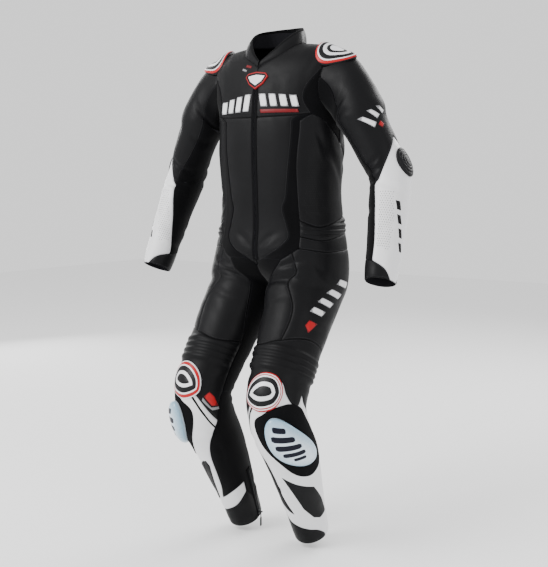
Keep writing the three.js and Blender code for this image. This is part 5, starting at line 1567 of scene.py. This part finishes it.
def sewn(cloth):
    """The nodes whose pieces are cut from a cloth."""
    pieces = {**BODY_PIECES, **ARM_PIECES}
    return [f"{kind}_{word}" for kind in pieces if pieces[kind][1] == cloth for word in SIDES]


# What the small things are made of, and the nodes that they stand for
SMALL = {
    "thread": ("thread", "leather", sewn("leather")),
    "white_thread": ("white_thread", "white_leather", sewn("white")),
    "teeth": ("enamel", "zip_tape", ["front_zip"]),
}
for word, side in SIDES.items():
    perforate(f"holes_forearm_{word}", SLEEVE[side], polygon(FOREARM_HOLES, 1.0), HOLE_PITCH, side, 1.1)
    perforate(f"holes_side_{word}", SUIT, polygon(SIDE_HOLES, AROUND), HOLE_PITCH, side, 0.6)
    SMALL[f"teeth_{word}"] = ("enamel", "zip_tape", [f"ankle_zip_{word}"])
    SMALL[f"holes_forearm_{word}"] = ("hole", "white_leather", [f"forearm_{word}"])
    SMALL[f"holes_side_{word}"] = ("hole", "leather", [f"side_{word}"])

for kind, parts in GATHERED.items():
    material, slot, nodes = SMALL[kind]
    starts = np.cumsum([0] + [len(points) for points, _ in parts])
    faces = np.vstack([part + start for (_, part), start in zip(parts, starts)])
    corners = np.vstack([points for points, _ in parts])
    settle(new_object(f"small_{kind}", corners, faces, (material,), smooth=False), nodes)


# Floor and light
WORLD_STRENGTH = 1.2


def area_light(name, place, aim, power, size):
    """A soft light that looks at a place."""
    data = bpy.data.lights.new(name, "AREA")
    data.shape = "RECTANGLE"
    data.size, data.size_y = size
    data.energy = power
    light = bpy.data.objects.new(name, data)
    bpy.context.scene.collection.objects.link(light)
    light.location = place
    light.rotation_mode = "QUATERNION"
    light.rotation_quaternion = (Vector(aim) - Vector(place)).to_track_quat("-Z", "Y")


FLOOR_GAP = 0.012
FLOOR_SIZE = 14.0
floor_z = CAD_BOX[0][2] - FLOOR_GAP
bpy.ops.mesh.primitive_plane_add(size=FLOOR_SIZE, location=(0, 0, floor_z))
floor = bpy.context.active_object
floor.name = "floor"
paper = bpy.data.materials.new("floor_paper")
paper.use_nodes = True
paper.node_tree.nodes["Principled BSDF"].inputs["Base Color"].default_value = (0.9, 0.9, 0.9, 1)
paper.node_tree.nodes["Principled BSDF"].inputs["Roughness"].default_value = 0.8
floor.data.materials.append(paper)

area_light("key", (-1.5, -3.0, 1.5), (0, 0, -0.6), 170, (1.8, 2.4))
area_light("fill", (3.3, -1.2, 0.3), (0, 0, -0.7), 24, (1.2, 2.8))
area_light("rim", (0.6, 2.9, 1.3), (0, 0, -0.4), 90, (2.4, 1.6))
area_light("back_fill", (-3.0, 1.4, 0.2), (0, 0, -0.7), 34, (1.2, 2.6))

world = bpy.data.worlds.new("studio")
world.use_nodes = True
world.node_tree.nodes["Background"].inputs["Color"].default_value = (1, 1, 1, 1)
world.node_tree.nodes["Background"].inputs["Strength"].default_value = WORLD_STRENGTH
bpy.context.scene.world = world
